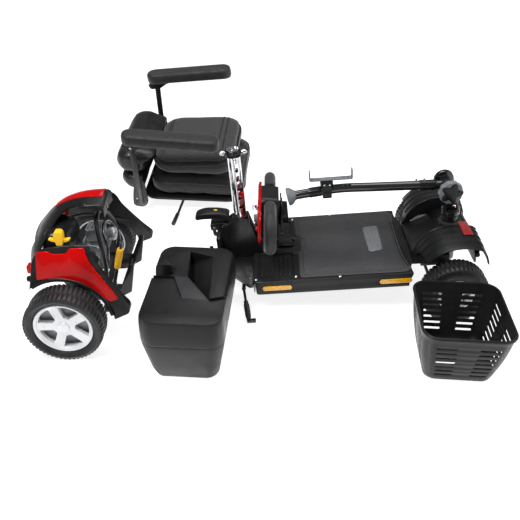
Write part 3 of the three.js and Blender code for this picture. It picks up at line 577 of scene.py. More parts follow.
def reflector(name, color):
    """A moulded reflector: prisms behind a clear skin."""
    n = Nodes(name)
    prisms = n.node("TexVoronoi", {"Vector": n.place, "Scale": 420}, distance="CHEBYCHEV").outputs["Distance"]
    n.set(Base_Color=n.tint(prisms, *shades(color, 0.35)), Roughness=0.15, Coat_Weight=1.0,
          Coat_Roughness=0.03, Normal=n.bump(prisms, 0.0005, 0.5))
    return n.material


LOOKS = {
    "plastic": moulded("black_plastic", (0.0068, 0.007, 0.0076), 0.34),
    "plastic_smooth": moulded("black_plastic_smooth", (0.0065, 0.0065, 0.0072), 0.24, 1800, 0.00005),
    "case": moulded("battery_lower_plastic", (0.0125, 0.0127, 0.0138), 0.42, 1000, 0.00022),
    "cover": moulded("battery_cover_plastic", (0.0068, 0.007, 0.0076), 0.33, 1200, 0.00016),
    "handle": moulded("battery_handle_plastic", (0.022, 0.0225, 0.0245), 0.42, 900, 0.00025),
    "bin": moulded("basket_plastic", (0.009, 0.0092, 0.01), 0.36, 1300, 0.00015),
    "deck": moulded("deck_plastic", (0.0095, 0.0098, 0.0105), 0.4, 900, 0.0002),
    "shroud": moulded("shroud_plastic", (0.0066, 0.0068, 0.0074), 0.33, 1000, 0.00018),
    "steel": painted("black_powder_coat", (0.0065, 0.0065, 0.0075), 0.3),
    "steel_gloss": painted("black_gloss_paint", (0.008, 0.008, 0.009), 0.16, coat=0.6),
    "mat": matting("deck_mat_rubber", (0.024, 0.0245, 0.0262)),
    "chrome": metal("chrome", (0.83, 0.84, 0.86), 0.07),
    "zinc": metal("zinc_plate", (0.62, 0.63, 0.66), 0.3),
    "cast": metal("cast_alloy", (0.46, 0.47, 0.49), 0.45, cast=True),
    "tyre": rubbery("tyre_rubber", (0.0058, 0.0058, 0.0064), 0.55),
    "foam": foam("grip_foam", (0.0075, 0.0075, 0.0082)),
    "pad": foam("arm_pad_foam", (0.0052, 0.0053, 0.0058)),
    "rim": painted("rim_silver_paint", (0.8, 0.81, 0.83), 0.3, metallic=0.15, coat=0.3, spread=0.06),
    # A darker grey copy of the rim's silver, for the disc across the middle of the wheel.
    "rim_dark": painted("rim_inner_darker_grey", (0.3, 0.305, 0.32), 0.5, metallic=0.2),
    "red": glossy("red_lacquer", (0.56, 0.0, 0.0002)),
    "red_clear": glossy("red_lens", (0.55, 0.004, 0.004), flake=False),
    "yellow": moulded("yellow_plastic", (0.88, 0.5, 0.004), 0.35, 1200, 0.0001, 0.08),
    "yellow_grip": rubbery("yellow_sleeve", (0.62, 0.33, 0.005), 0.5, 400, 0.0004),
    "grey": moulded("grey_plastic", (0.15, 0.16, 0.175), 0.45, 1100, 0.00012),
    "cloth": woven("seat_cloth", (0.0042, 0.0042, 0.0047)),
    "vinyl": vinyl("seat_vinyl", (0.0068, 0.0068, 0.0076)),
    "piping": vinyl("seam_piping", (0.011, 0.011, 0.012)),
    "amber": reflector("amber_reflector", (0.95, 0.4, 0.005)),
    "red_reflector": reflector("red_reflector", (0.3, 0.003, 0.004)),
    "reflective": reflector("grey_reflective_strip", (0.14, 0.145, 0.155)),
    # Painted shade: a near-black, dull disc that stands for the shade inside the rear rims.
    "hole": rubbery("painted_shade_disc", (0.004, 0.004, 0.0045), 0.85),
}


# ---- camera, floor and light ----
CAMERA = {"place": (0.008, -2.0727, 1.341), "pitch": 34.15, "yaw": 0.632, "focal_px": 600}
PHOTO_SIDE = 520
FLOOR_REACH = 14.0  # metres from the middle, past everything the camera sees


def camera():
    data = bpy.data.cameras.new("camera")
    data.sensor_width = 36
    data.lens = CAMERA["focal_px"] / PHOTO_SIDE * data.sensor_width
    obj = add_object("camera", data)
    obj.location = CAMERA["place"]
    obj.rotation_euler = (math.radians(90 - CAMERA["pitch"]), 0, math.radians(CAMERA["yaw"]))
    bpy.context.scene.camera = obj


def studio():
    mesh = bpy.data.meshes.new("floor")
    corners = [(x * FLOOR_REACH, y * FLOOR_REACH, 0) for x, y in ((-1, -1), (1, -1), (1, 1), (-1, 1))]
    mesh.from_pydata(corners, [], [(0, 1, 2, 3)])
    floor = add_object("floor", mesh)
    n = Nodes("floor_white")
    n.set(Base_Color=(0.55, 0.55, 0.55, 1), Roughness=n.spread(n.noise(3, 2), 0.08, 0.13), IOR=2.1,
          Emission_Color=(1, 1, 1, 1), Emission_Strength=0.84)
    mesh.materials.append(n.material)

    world = bpy.data.worlds.new("studio")
    world.use_nodes = True
    world.node_tree.nodes["Background"].inputs["Color"].default_value = (1, 1, 1, 1)
    world.node_tree.nodes["Background"].inputs["Strength"].default_value = 0.2
    bpy.context.scene.world = world
    bpy.context.scene.view_settings.view_transform = "Standard"

    for name, place, aim, size, power in (("key", (-1.1, -1.3, 2.8), (0, 0, 0.2), (1.1, 0.6), 75),
                                          ("top", (0.3, 0.6, 3.2), (0, 0, 0), (3.0, 1.6), 60),
                                          ("side", (2.6, -0.8, 1.9), (0, 0, 0.2), (0.6, 1.2), 34)):
        light = bpy.data.lights.new(name, "AREA")
        light.shape, light.size, light.size_y, light.energy = "RECTANGLE", *size, power
        lamp = add_object(name, light)
        lamp.location = place
        lamp.rotation_euler = (Vector(aim) - Vector(place)).to_track_quat("-Z", "Y").to_euler()


camera()
studio()


# ---- wheels ----
TREAD = 6.0
BLOCK_STEPS = 8  # angular steps for each tread block and its groove
GROOVE_STEPS = (0, 1, 2)


def tyre(radius, width, rim, blocks):
    """A tyre at the origin, axle along y: bulging walls and crosswise tread blocks, offset row by row."""
    half = width / 2
    shoulder = radius - TREAD
    wall = [(rim + 0.5, -half * 0.62), (rim + 3, -half * 0.72), (rim + 6, -half * 0.8),
            ((rim + radius) / 2, -half * 0.97), (shoulder - 9, -half * 0.985), (shoulder - 4, -half * 0.95)]
    crown = [-0.9, -0.86, -0.5, -0.46, -0.05, 0.05, 0.46, 0.5, 0.86, 0.9]
    middle_groove = (4, 5)
    sides = blocks * BLOCK_STEPS
    loops = []
    for i in range(sides):
        turn = 2 * math.pi * i / sides
        row = list(wall)
        for k, share in enumerate(crown):
            shift = BLOCK_STEPS // 2 if share > 0 else 0
            low = k in middle_groove or (i + shift) % BLOCK_STEPS in GROOVE_STEPS
            dome = TREAD * (0.25 + 0.75 * (1 - share**4))
            row.append((shoulder + (0.0 if low else dome), half * share))
        row += [(r, -y) for r, y in reversed(wall)]
        row += [(rim + 0.5, half * 0.3), (rim + 0.5, -half * 0.3)]
        loops.append([Vector((r * math.cos(turn), y, r * math.sin(turn))) for r, y in row])
    return rings(loops, looped=True)


def rim_face(radius, width):
    """The cast rim without its windows: bright lip, dished face, hub and barrel."""
    half = width / 2
    face = -half * 0.62
    return lathe([(9, face + 3), (22, face + 2), (28, face + 5), (radius - 20, face + 3),
                  (radius - 11, face + 1), (radius - 8, face - 4), (radius - 5, face - 6),
                  (radius - 1, face - 5.5), (radius, face - 2), (radius, half * 0.66),
                  (radius - 5, half * 0.66), (radius - 7, face + 17), (28, face + 20), (24, half * 0.5),
                  (9, half * 0.5)], (0, 0, 0), "y", 120, closed=True)


def rim_window(radius, width, at, spread_out=0.43, spread_in=0.22):
    outer, inner = radius - 13, radius * 0.38
    points = [(outer * math.cos(a), outer * math.sin(a)) for a in
              (at - spread_out + 2 * spread_out * k / 6 for k in range(7))]
    points += [(inner * math.cos(at + spread_in), inner * math.sin(at + spread_in)),
               (inner * math.cos(at - spread_in), inner * math.sin(at - spread_in))]
    outline = rounded([(*p, 4) if i in (0, 6, 7, 8) else (*p, 0) for i, p in enumerate(points)], steps=4)
    return prism(outline, "y", -width, width * 0.06)


def wheel(end, word, sign, radius, width, rim, blocks, phase, spokes=5):
    body = f"{end}_wheel_{word}"
    place = Matrix.Translation(Vector(JOINTS[f"{body}_spin"]["pos_m"])) @ Matrix.Scale(MM, 4)
    if sign > 0:
        place = place @ MIRROR
    piece(f"{end}_tyre_{word}_tread", tyre(radius, width, rim, blocks), place, "tyre", body,
          angle=math.radians(34), replaces=(f"{end}_tyre_{word}",))
    windows = joined(rim_window(rim, width, phase + 2 * math.pi * i / spokes) for i in range(spokes))
    piece(f"{end}_rim_{word}_cast", rim_face(rim, width), place, "rim", body, cuts=(windows,), edge=1.1,
          replaces=(f"{end}_rim_{word}",))
    half = width / 2
    # A darker grey disc across the middle of the wheel, seen through the windows.
    dish = lathe([(20, half * 0.02), (rim - 7, half * 0.02), (rim - 7, half * 0.1), (20, half * 0.1)],
                 (0, 0, 0), closed=True)
    piece(f"{end}_rim_{word}_dish", dish, place, "rim_dark", body)
    # Rear wheels only: a near-black disc closing the rim from behind, painted shade for the wheel's inside.
    if end == "rear":
        back = lathe([(16, half * 0.4), (rim - 1, half * 0.5), (rim - 1, half * 0.56), (16, half * 0.5)],
                     (0, 0, 0), closed=True)
        piece(f"{end}_rim_{word}_back", back, place, "hole", body)
    face = -half * 0.62
    cap = lathe([(0.5, face - 5), (12, face - 4.4), (19, face - 2), (21, face + 1), (21, face + 4),
                 (0.5, face + 4)], (0, 0, 0), sides=48)
    piece(f"{end}_hub_cap_{word}", cap, place, "rim", body, edge=0.5)


def wheels():
    for word, sign in SIDES:
        wheel("rear", word, sign, 124.5, 85, 92, 54, phase=-0.04)
        wheel("front", word, sign, 112, 74, 62, 46, phase=0.9)


# ---- battery box ----
BOX = {"length": 253, "width": 400, "seam": 146, "height": 245, "corner": 46}


def wedge_cutter(floor, above):
    """A pit with a four-cornered floor and upright walls."""
    corners = [*floor, *((x, y, above) for x, y, _ in floor)]
    return Shape(corners, [(3, 2, 1, 0), (4, 5, 6, 7), (0, 1, 5, 4), (1, 2, 6, 5), (2, 3, 7, 6),
                           (3, 0, 4, 7)])


def battery():
    size = BOX["length"], BOX["width"], BOX["corner"]
    seam, top = BOX["seam"], BOX["height"]
    lower = stack(*size, [(0, 0.78, 0.85), (2, 0.8, 0.862), (9, 0.822, 0.88), (60, 0.89, 0.925),
                          (100, 0.945, 0.962), (130, 0.985, 0.988), (seam - 4, 0.992, 0.994),
                          (seam - 0.6, 0.993, 0.995)], 12)
    # The foot steps in at its rear corner on the right, where the box docks against the drive unit.
    notch = prism([(-145, -12), (-145, 74), (-130, 62), (-60, -12)], "y", -220, -140)
    piece("battery_case_shell", lower, BATTERY, "case", "battery_box", cuts=(notch,),
          edge=2.2, steps=3, replaces=("battery_case", "battery_pack"))
    foot = stack(190, 330, 26, [(0.4, 0.9), (3, 0.96), (30, 1.0), (60, 1.04)], 8, centre=(-10, -2))
    piece("battery_foot", foot, BATTERY, "cover", "battery_box", edge=1.5)

    upper = stack(*size, [(seam + 0.6, 0.996, 0.997), (seam + 3, 1.0, 1.0), (190, 1.0, 1.0),
                          (212, 0.994, 0.996), (226, 0.984, 0.99), (235, 0.97, 0.981), (241, 0.95, 0.968),
                          (244, 0.93, 0.956), (top, 0.9, 0.94)], 12)
    recess = prism(rounded([(-150, 20, 0), (-150, 80, 0), (-70, 80, 20), (-52, 62, 16), (-52, 34, 12),
                            (-66, 20, 12)], steps=6), "z", 184, 270)
    # The right recess is a scoop: deep along the handle, rising to the top face further out.
    scoop = wedge_cutter([(-22, 162, 200), (-8, 21, 186), (75, -87, 236), (58, 135, 246)], 270)
    facet = wedge_cutter([(-52, 19.5, 245.2), (-8, 21, 245.2), (75, -87, 235.6), (-13, -76, 235.2)], 270)
    lowered = prism([(-150, 20.5), (-52, 19), (-13, -76), (75, -86), (150, -58), (150, -230), (-150, -230)],
                    "z", top - 10, 270)
    way = prism(rounded([(-64, 34), (4, 34), (4, 66), (-64, 66)], 6), "z", 188, 214)
    piece("battery_cover_shell", upper, BATTERY, "cover", "battery_box",
          cuts=(recess, scoop, lowered, facet, way), edge=2.6, steps=3, replaces=("battery_cover",))
    inlay = wedge_cutter([(-49, 16, 243.6), (-9, 18, 243.6), (68, -82, 234.4), (-12, -73, 233.8)], 0)
    for corner, z in zip(inlay.corners[4:], (246.4, 246.4, 236.8, 236.4)):
        corner.z = z
    piece("battery_handle_inlay", inlay, BATTERY, "handle", "battery_box", edge=1.0)


# ---- basket ----
BIN = {"length": 272, "width": 287, "height": 200, "taper": 0.76, "wall": 3, "corner": 48}


def basket():
    length, width, height, wall = BIN["length"], BIN["width"], BIN["height"], BIN["wall"]
    taper, taper_y = BIN["taper"], BIN["taper"] * 0.93

    def at(z):
        share = z / height
        bulge = 0.035 * math.sin(math.pi * share)
        return taper + (0.985 - taper) * share + bulge, taper_y + (0.985 - taper_y) * share + bulge

    outer = [(0, *[v - 0.02 for v in at(0)]), (3, *at(1))] + [(z, *at(z)) for z in range(16, 188, 14)]
    outer += [(188, 0.99, 0.99), (190, 1.0, 1.0), (197, 1.0, 1.0), (200, 0.993, 0.993)]
    shape = stack(length, width, BIN["corner"], outer, 12)
    inner = [(wall, *[v - 0.025 for v in at(0)])] + [(z, *at(z)) for z in range(16, 188, 14)]
    inner += [(201, *at(196))]
    hollow = stack(length - 2 * wall, width - 2 * wall, BIN["corner"] - wall, inner, 12)
    slots = Shape()
    rows, first, pitch, tall = 7, 27, 20.5, 8.5
    for row in range(rows):
        z = first + row * pitch
        share = 0.82 + 0.18 * row / (rows - 1)
        for start, end in ((-94 * share, -31 * share), (31 * share, 94 * share)):
            bar = rounded([(start, z), (end, z), (end, z + tall), (start, z + tall)], 3.6, 3)
            slots += prism(bar, "y", -width, -40) + prism(bar, "y", 40, width)
            slots += prism(bar, "x", -length, -40) + prism(bar, "x", 40, length)
    for row in (-2, -1, 0, 1, 2):
        outline = rounded([(-60, row * 26 - 5), (60, row * 26 - 5), (60, row * 26 + 5),
                           (-60, row * 26 + 5)], 4, 3)
        slots += prism(outline, "z", -5, 8)
    piece("basket_shell", shape, BASKET, "bin", "basket", cuts=(hollow, slots), edge=0.5,
          steps=2, replaces=("basket",))
    loop = [Vector((*p, 195.5)) for p in rounded_rectangle(length - 5, width - 5, 46, 10)]
    piece("basket_rim_roll", tube(loop, 4.4, 12, closed=True), BASKET, "bin", "basket")


# ---- drive unit ----
SHELL = {"half": 240, "crown": 94, "bulge": 38, "brow": 30}
LEAN = {"foot": 130, "inward": 0.24, "down": 0.127, "back": 0.07}
ARCH = {"z": 124.5, "r": 152}
PANEL_EDGE = [(-55, 372, 6), (-20, 377, 6), (-2, 366, 8), (38, 369, 8), (48, 386, 6), (97, 390, 10),
              (96, 368, 30), (106, 332, 30), (131, 287, 40), (176, 208, 8), (148, 195, 10), (128, 212, 30),
              (101, 244, 40), (64, 270, 40), (22, 281, 40), (-20, 283, 30), (-68, 273, 8), (-62, 320, 30)]


RIDGE_POWER = 1.25
RIDGE_BLUNT = 0.006  # rounds the ridge off where the two flanks meet


def ridge_height(share):
    """1 on the ridge, 0 at the flank."""
    low, high = RIDGE_BLUNT ** (RIDGE_POWER / 2), (1 + RIDGE_BLUNT) ** (RIDGE_POWER / 2)
    return 1 - (math.sqrt(share * share + RIDGE_BLUNT) ** RIDGE_POWER - low) / (high - low)


def shell_rule(inset=0):
    """Takes a point drawn on an upright flank to the shroud's surface: leaned in, crowned and bulged."""
    def rule(c):
        height = c.z - LEAN["foot"]
        share = min(1, abs(c.y) / SHELL["half"])
        across = 1 - share * share
        high = min(1, max(0, (c.z - 240) / 140))
        back = min(1, max(0, (90 - c.x) / 150))
        ahead = min(1, max(0, (c.x - 20) / 80)) * high
        crown = max(10, SHELL["crown"] - 0.0037 * min(0, c.x - 100) ** 2)
        x = c.x - LEAN["back"] * height - SHELL["bulge"] * across * back + SHELL["brow"] * across * ahead
        y = c.y - math.copysign(share * LEAN["inward"] * height, c.y)
        z = c.z - LEAN["down"] * height + (crown - inset * 0.3) * ridge_height(share) * high
        return Vector((x, y, z))
    return rule


def arch_points(radius, first, last, steps=18):
    return [(radius * math.cos(math.radians(a)), ARCH["z"] + radius * math.sin(math.radians(a)), 0)
            for a in (first + (last - first) * k / steps for k in range(steps + 1))]


def rear_shroud():
    side = [(-99, 232, 4), (-84, 290, 40), (-72, 345, 40), (-50, 374, 24), (-10, 386, 30), (50, 394, 20),
            (104, 394, 16), (117, 368, 20), (123, 335, 30), (144, 290, 40), (176, 226, 30), (207, 178, 14),
            (201, 152, 10), (152, 128, 4)]
    outer = prism(rounded(side + arch_points(152, 6, 126), steps=6), "y", -240, 240, 36).bent(shell_rule())
    inside = [(-140, 120, 0), (-84, 250, 20), (-77, 300, 30), (-66, 342, 30), (-47, 367, 20), (-8, 381, 20),
              (50, 388, 20), (90, 388, 12), (110, 360, 20), (118, 330, 30), (260, 300, 0), (260, 60, 0),
              (-140, 60, 0)]
    hollow = prism(rounded(inside, steps=5), "y", -235, 235, 36).bent(shell_rule(4))
    mouth = prism([(108, 60), (108, 384), (260, 384), (260, 60)], "y", -224, 224, 36).bent(shell_rule(4))
    slot = prism(rounded([(-170, -128), (-92, -122), (-92, 122), (-170, 128)], 14, 6), "z", 296, 338)
    # Each flank is open above a shelf; between the two windows stays a band along the crown.
    window = prism(rounded([(-62, -174, 4), (-44, -112, 14), (-24, -68, 14), (-6, -50, 12), (54, -45, 4),
                            (58, -57, 4), (170, -57, 0), (170, -174, 0)], steps=5), "z", 322, 500)
    on_drive("rear_shroud_shell", outer, "shroud",
             cuts=(hollow, mouth, slot, both(window)), edge=2.2, steps=3, replaces=("rear_shroud",))
    shelf = block((-30, -187, 312), (76, -138, 319), 4)
    lever_slot = prism(rounded([(-29, -175), (31, -175), (31, -145), (-29, -145)], 10), "z", 300, 330)
    for word, place in sided(REAR):
        piece(f"flank_shelf_{word}", shelf, place, "plastic", "drive_unit", cuts=(lever_slot,), edge=1.5)
    dome = stack(92, 168, 34, [(262, 1.0, 1.0), (300, 1.0, 1.0), (322, 0.97, 0.99), (340, 0.91, 0.955),
                               (354, 0.82, 0.9), (365, 0.7, 0.82), (373, 0.54, 0.71), (377, 0.34, 0.56)], 12,
                 centre=(-30, -66))
    on_drive("motor_cover_dome", dome, "plastic_smooth", replaces=("motor_cover",))
    carrier = block((30, -18, 278), (92, 34, 318), 8)
    fins = joined(block((34 + k * 12, -20, 314), (39 + k * 12, 36, 324), 1) for k in range(5))
    boss = lathe([(0.5, -14), (20, -14), (24, -9), (24, 9), (20, 14), (9, 14), (8, 8), (0.5, 8)],
                 (104, 36, 276), "x", 40)
    on_drive("gear_carrier", carrier + fins + boss, "cast", edge=1.4, steps=3)

    def swell(c):
        near = (Vector((c.x, c.z)) - Vector((30, 320))).length / 150
        rise = 1.8 * max(0, 1 - near * near) if c.y < -241 else 0
        return shell_rule()(Vector((c.x, c.y - rise, c.z)))

    panel = prism(rounded(PANEL_EDGE, steps=8), "y", -243.2, -239.6).bent(swell)
    # The black border stands proud round the wheel arch.
    border = tube([shell_rule()(Vector((x, -239, z))) for x, z, _ in arch_points(150, 126, 8, 24)], 7.5, 16)
    for word, place in sided(REAR):
        piece(f"side_panel_{word}_lacquer", panel, place, "red", "drive_unit",
              edge=1.3, steps=3, replaces=(f"side_panel_{word}",))
        piece(f"arch_edge_{word}", border, place, "shroud", "drive_unit")

    run = [-6 + 106 * k / 14 for k in range(15)]
    trim = prism([(x, 0) for x in run] + [(x, 4) for x in reversed(run)], "y", -36, 36, 16)

    def lay(c):
        y = c.y * (0.62 + 0.38 * (c.x + 6) / 106) * (1 - 0.12 * max(0, 1 - (c.x + 6) / 14) ** 2)
        on_top = shell_rule()(Vector((c.x, y, 386 + 8 * min(1, max(0, (c.x + 10) / 60)))))
        return on_top + Vector((0, 0, c.z - 1.2))

    on_drive("top_trim_lacquer", trim.bent(lay), "red", edge=0.8, steps=2, replaces=("top_trim",))

    # Tail: a red lens on each side, and a knob on the right.
    lens = block((-110, -190, 266), (-90, -162, 292), 4, "x")
    on_drive("tail_lamp", both(lens), "red_clear", slot="red_gloss", edge=2, steps=3)
    knob = lathe([(0.5, -10), (8, -9), (10, -5), (10, 4), (0.5, 4)], (-106, -188, 246), "x", 32)
    on_drive("tail_knob", knob, "plastic_smooth")


def rear_mechanism():
    for node, look in (("rear_frame", "steel"), ("transaxle", "cast"), ("motor", "cast"),
                       ("rear_axle", "zinc"), ("lock_bar", "steel_gloss")):
        refined(node, look, 0.9)
    # Cooling ribs on the motor, and bolts round the gearbox flange.
    ribs = joined(lathe([(42, -1.2), (45.4, -0.9), (45.4, 0.9), (42, 1.2)], (36, 6 + k * 11, 216.5), "y",
                        56, closed=True) for k in range(9))
    on_drive("motor_ribs", ribs, "cast", edge=0.4)
    bolts = Shape()
    for k in range(6):
        a = math.radians(60 * k + 10)
        bolts += lathe([(0.4, -6), (5, -6), (5.6, -5), (5.6, 0), (0.4, 0)],
                       (47 * math.cos(a), -72, 124.5 + 47 * math.sin(a)), "y", 6)
    on_drive("gearbox_bolts", bolts, "zinc", slot="casting", edge=0.5)
    x, y, z, lean = 126, -108, 160, 0.27
    sleeve = [(x + k * lean, y, z + k) for k in (74, 76, 80, 108, 142, 146, 148)]
    grip = tube(sleeve, [8.5, 10, 10.4, 9.8, 10.4, 10, 8.5], 28)
    rings_on = joined(tube([(x + (k - 1.6) * lean, y, z + k - 1.6), (x + (k + 1.6) * lean, y, z + k + 1.6)],
                           10.6, 28) for k in range(84, 140, 7))
    piece("lock_grip_sleeve", grip + rings_on, REAR, "yellow_grip", "lock_bar",
          edge=0.4, replaces=("lock_grip",))
    hoop = curve([(104, -52, 226), (110, -60, 276), (100, -40, 322), (94, 0, 338), (100, 40, 322),
                  (110, 60, 276), (104, 52, 226)], 8)
    on_drive("frame_inner_hoop", tube(hoop, 5, 16), "steel_gloss")


def freewheel_lever():
    x, y, z = 1, -160, 306
    stem = rod((x, y, z + 2), (x, y, z + 54), 5)
    collar = lathe([(0.5, -6), (12, -5), (12, 2), (8, 5), (0.5, 5)], (x, y, z + 20), "z", 36)
    piece("freewheel_stem", stem + collar, REAR, "zinc", "freewheel_lever", slot="yellow_plastic", edge=0.5)
    half = [(8, 50, 4), (12, 66, 6), (14, 90, 8), (9, 99, 7)]
    body = prism(rounded([(x + a, z + b, r) for a, b, r in half]
                         + [(x - a, z + b, r) for a, b, r in reversed(half)], steps=5), "y", y - 12, y + 11)
    wing = [(20, 62, 6), (32, 68, 2), (32, 73, 2), (18, 70, 6)]
    ears = prism(rounded([(x + a, z + b, r) for a, b, r in wing]
                         + [(x - a, z + b, r) for a, b, r in reversed(wing)], steps=4), "y", y - 7, y + 6)
    piece("freewheel_handle", body + ears, REAR, "yellow", "freewheel_lever", edge=3,
          steps=4, replaces=("freewheel_lever",))


# ---- seat ----
def puff(obj, voxel=0.006, pressure=4.0, cap=0.016, frames=20):
    """Fills a soft piece: remeshed, inflated as cloth with gravity off, and its swelling capped."""
    step = obj.modifiers.new("skin", "REMESH")
    step.mode, step.voxel_size = "VOXEL", voxel
    bake(obj)
    start = [v.co.copy() for v in obj.data.vertices]
    cloth = obj.modifiers.new("cloth", "CLOTH")
    cloth.settings.use_pressure = True
    cloth.settings.uniform_pressure_force = pressure
    cloth.settings.tension_stiffness = cloth.settings.compression_stiffness = 12
    cloth.settings.effector_weights.gravity = 0
    cloth.point_cache.frame_start, cloth.point_cache.frame_end = 1, frames
    scene = bpy.context.scene
    for f in range(1, frames + 1):
        scene.frame_set(f)
    bake(obj)
    for v, was in zip(obj.data.vertices, start):
        move = v.co - was
        if move.length > cap:
            v.co = was + move.normalized() * cap
    scene.frame_set(1)


def pillow(name, shape, look, body, cap, times, finer=False, replaces=()):
    """A padded piece: filled by the cloth recipe, then relaxed and, for a finer one, divided once."""
    obj = piece(name, shape, SEAT, look, body, slot="seat_fabric", replaces=replaces)
    puff(obj, cap=cap)
    smooth = obj.modifiers.new("smooth", "CORRECTIVE_SMOOTH")
    smooth.iterations, smooth.use_only_smooth, smooth.factor = times, True, 0.6
    bake(obj)
    if finer:
        step = obj.modifiers.new("round", "SUBSURF")
        step.levels = step.render_levels = 1
        bake(obj)
    obj.data.shade_smooth()
    dress(obj, look)
    return obj


def cushion(name, shape, body, node, cap):
    return pillow(name, shape, "cloth", body, cap, times=14, finer=True, replaces=(node,))


def roll(name, outline, half, centre, body):
    """A vinyl roll across the seat, its ends drawn in towards the centre of its section."""
    middle = Vector((centre[0], 0, centre[1]))

    def ends(c):
        share = max(0, abs(c.y) / half - 0.72) / 0.28
        drop = 1 - 0.3 * share**2.4
        return Vector((middle.x + (c.x - middle.x) * drop, c.y, middle.z + (c.z - middle.z) * drop))

    shape = prism(rounded(outline, steps=5), "y", -half, half, 12).bent(ends)
    return pillow(name, shape, "vinyl", body, 0.007, times=10)


def sewn(name, obj, points, body, radius=2.2, closed=False, middle=(0, 0), over=False):
    """Piping laid on a finished pillow: each point is carried in to its skin, from the side or from above."""
    mesh = obj.data
    skin = BVHTree.FromPolygons([v.co for v in mesh.vertices], [tuple(f.vertices) for f in mesh.polygons])
    back = SEAT.inverted()
    line = []
    for p in curve(points, 6, closed):
        away = Vector((0, 0, 80)) if over else Vector((p.x - middle[0], p.y - middle[1], 0)) * 0.5
        start, end = SEAT @ (p + away), SEAT @ (p - away * 0.8)
        hit, normal, _, _ = skin.ray_cast(start, (end - start).normalized())
        if hit is not None:
            line.append(back @ (hit + normal * radius * 0.35 * MM))
    if len(line) > 3:
        piece(name, tube(line, radius, 10, closed), SEAT, "piping", body)


def around(length, width, radius, z, centre=(0, 0), steps=6):
    return [Vector((*p, z)) for p in rounded_rectangle(length, width, radius, steps, centre)]


def across(x, half, step, z):
    return [Vector((x, y, z)) for y in range(-half, half + 1, step)]


CUSHION = {"length": 446, "width": 430, "corner": 84, "centre": (25, 0)}
PAD = {"length": 390, "width": 404, "corner": 96, "centre": (12, 0)}


def seat():
    size = CUSHION["length"], CUSHION["width"], CUSHION["corner"]
    middle = CUSHION["centre"]
    shape = stack(*size, [(97, 0.9), (104, 0.96), (118, 1.0), (146, 1.0), (158, 0.97), (165, 0.9)], 8, middle)
    obj = cushion("seat_cushion_cover", shape, "seat", "seat_cushion", 0.014)
    for k, z in enumerate((113, 154)):
        sewn(f"cushion_piping_{k + 1}", obj, around(*size, z, middle), "seat", 2.6, closed=True,
             middle=middle)

    # Backrest folded forward onto the cushion: its back face is up, its front pad below.
    def wedge(c):
        ahead = min(1, max(0, (c.x + 190) / 390))
        return Vector((c.x, c.y, c.z + 22 * ahead * ahead if c.z > 215 else c.z))

    size = PAD["length"], PAD["width"], PAD["corner"]
    middle = PAD["centre"]
    pad = stack(*size, [(198, 0.9), (206, 0.96), (218, 1.0), (236, 1.0), (244, 0.98), (250, 0.94)], 8, middle)
    front = cushion("backrest_front_pad", pad.bent(wedge), "backrest", "backrest_pad", 0.008)
    back = stack(380, 396, 92, [(250, 0.96), (258, 0.97), (266, 0.95), (271, 0.9)], 8, (14, 0))
    cover = cushion("backrest_rear_cover", back.bent(wedge), "backrest", "backrest_shell", 0.004)
    edge = [wedge(p) for p in around(*size, 238, middle)]
    sewn("backrest_piping", front, edge, "backrest", 2.8, closed=True, middle=middle)
    for k, x in enumerate((-128, -118)):
        sewn(f"lumbar_seam_{k + 1}", cover, across(x, 176, 22, 270), "backrest", 1.5, over=True)

    # The padded lumbar section, doubled over behind the fold.
    lumbar = roll("backrest_lumbar_roll",
                  [(-204, 200, 10), (-240, 191, 24), (-292, 193, 34), (-322, 210, 34), (-333, 242, 40),
                   (-320, 280, 34), (-288, 301, 34), (-245, 303, 40), (-196, 286, 40), (-146, 273, 8),
                   (-150, 266, 6), (-192, 258, 10)], 200, (-235, 246), "backrest")
    lower = roll("seat_rear_fold",
                 [(-214, 112, 10), (-258, 100, 30), (-304, 112, 40), (-326, 146, 36), (-318, 178, 26),
                  (-286, 188, 20), (-236, 187, 14), (-214, 176, 10)], 196, (-214, 145), "seat")
    for name, sign in (("lumbar_end_seam", -1), ("lumbar_end_seam_far", 1)):
        seam = [Vector((x, sign * y, 290)) for x, y in ((-150, 150), (-200, 172), (-260, 176), (-310, 160))]
        sewn(name, lumbar, seam, "backrest", 1.6, over=True)
    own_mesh(lower)
    sewn("backrest_strap", cover, across(136, 170, 20, 280), "backrest", 1.8, over=True)
    sewn("backrest_strap_edge", cover, across(112, 176, 22, 280), "backrest", 1.8, over=True)


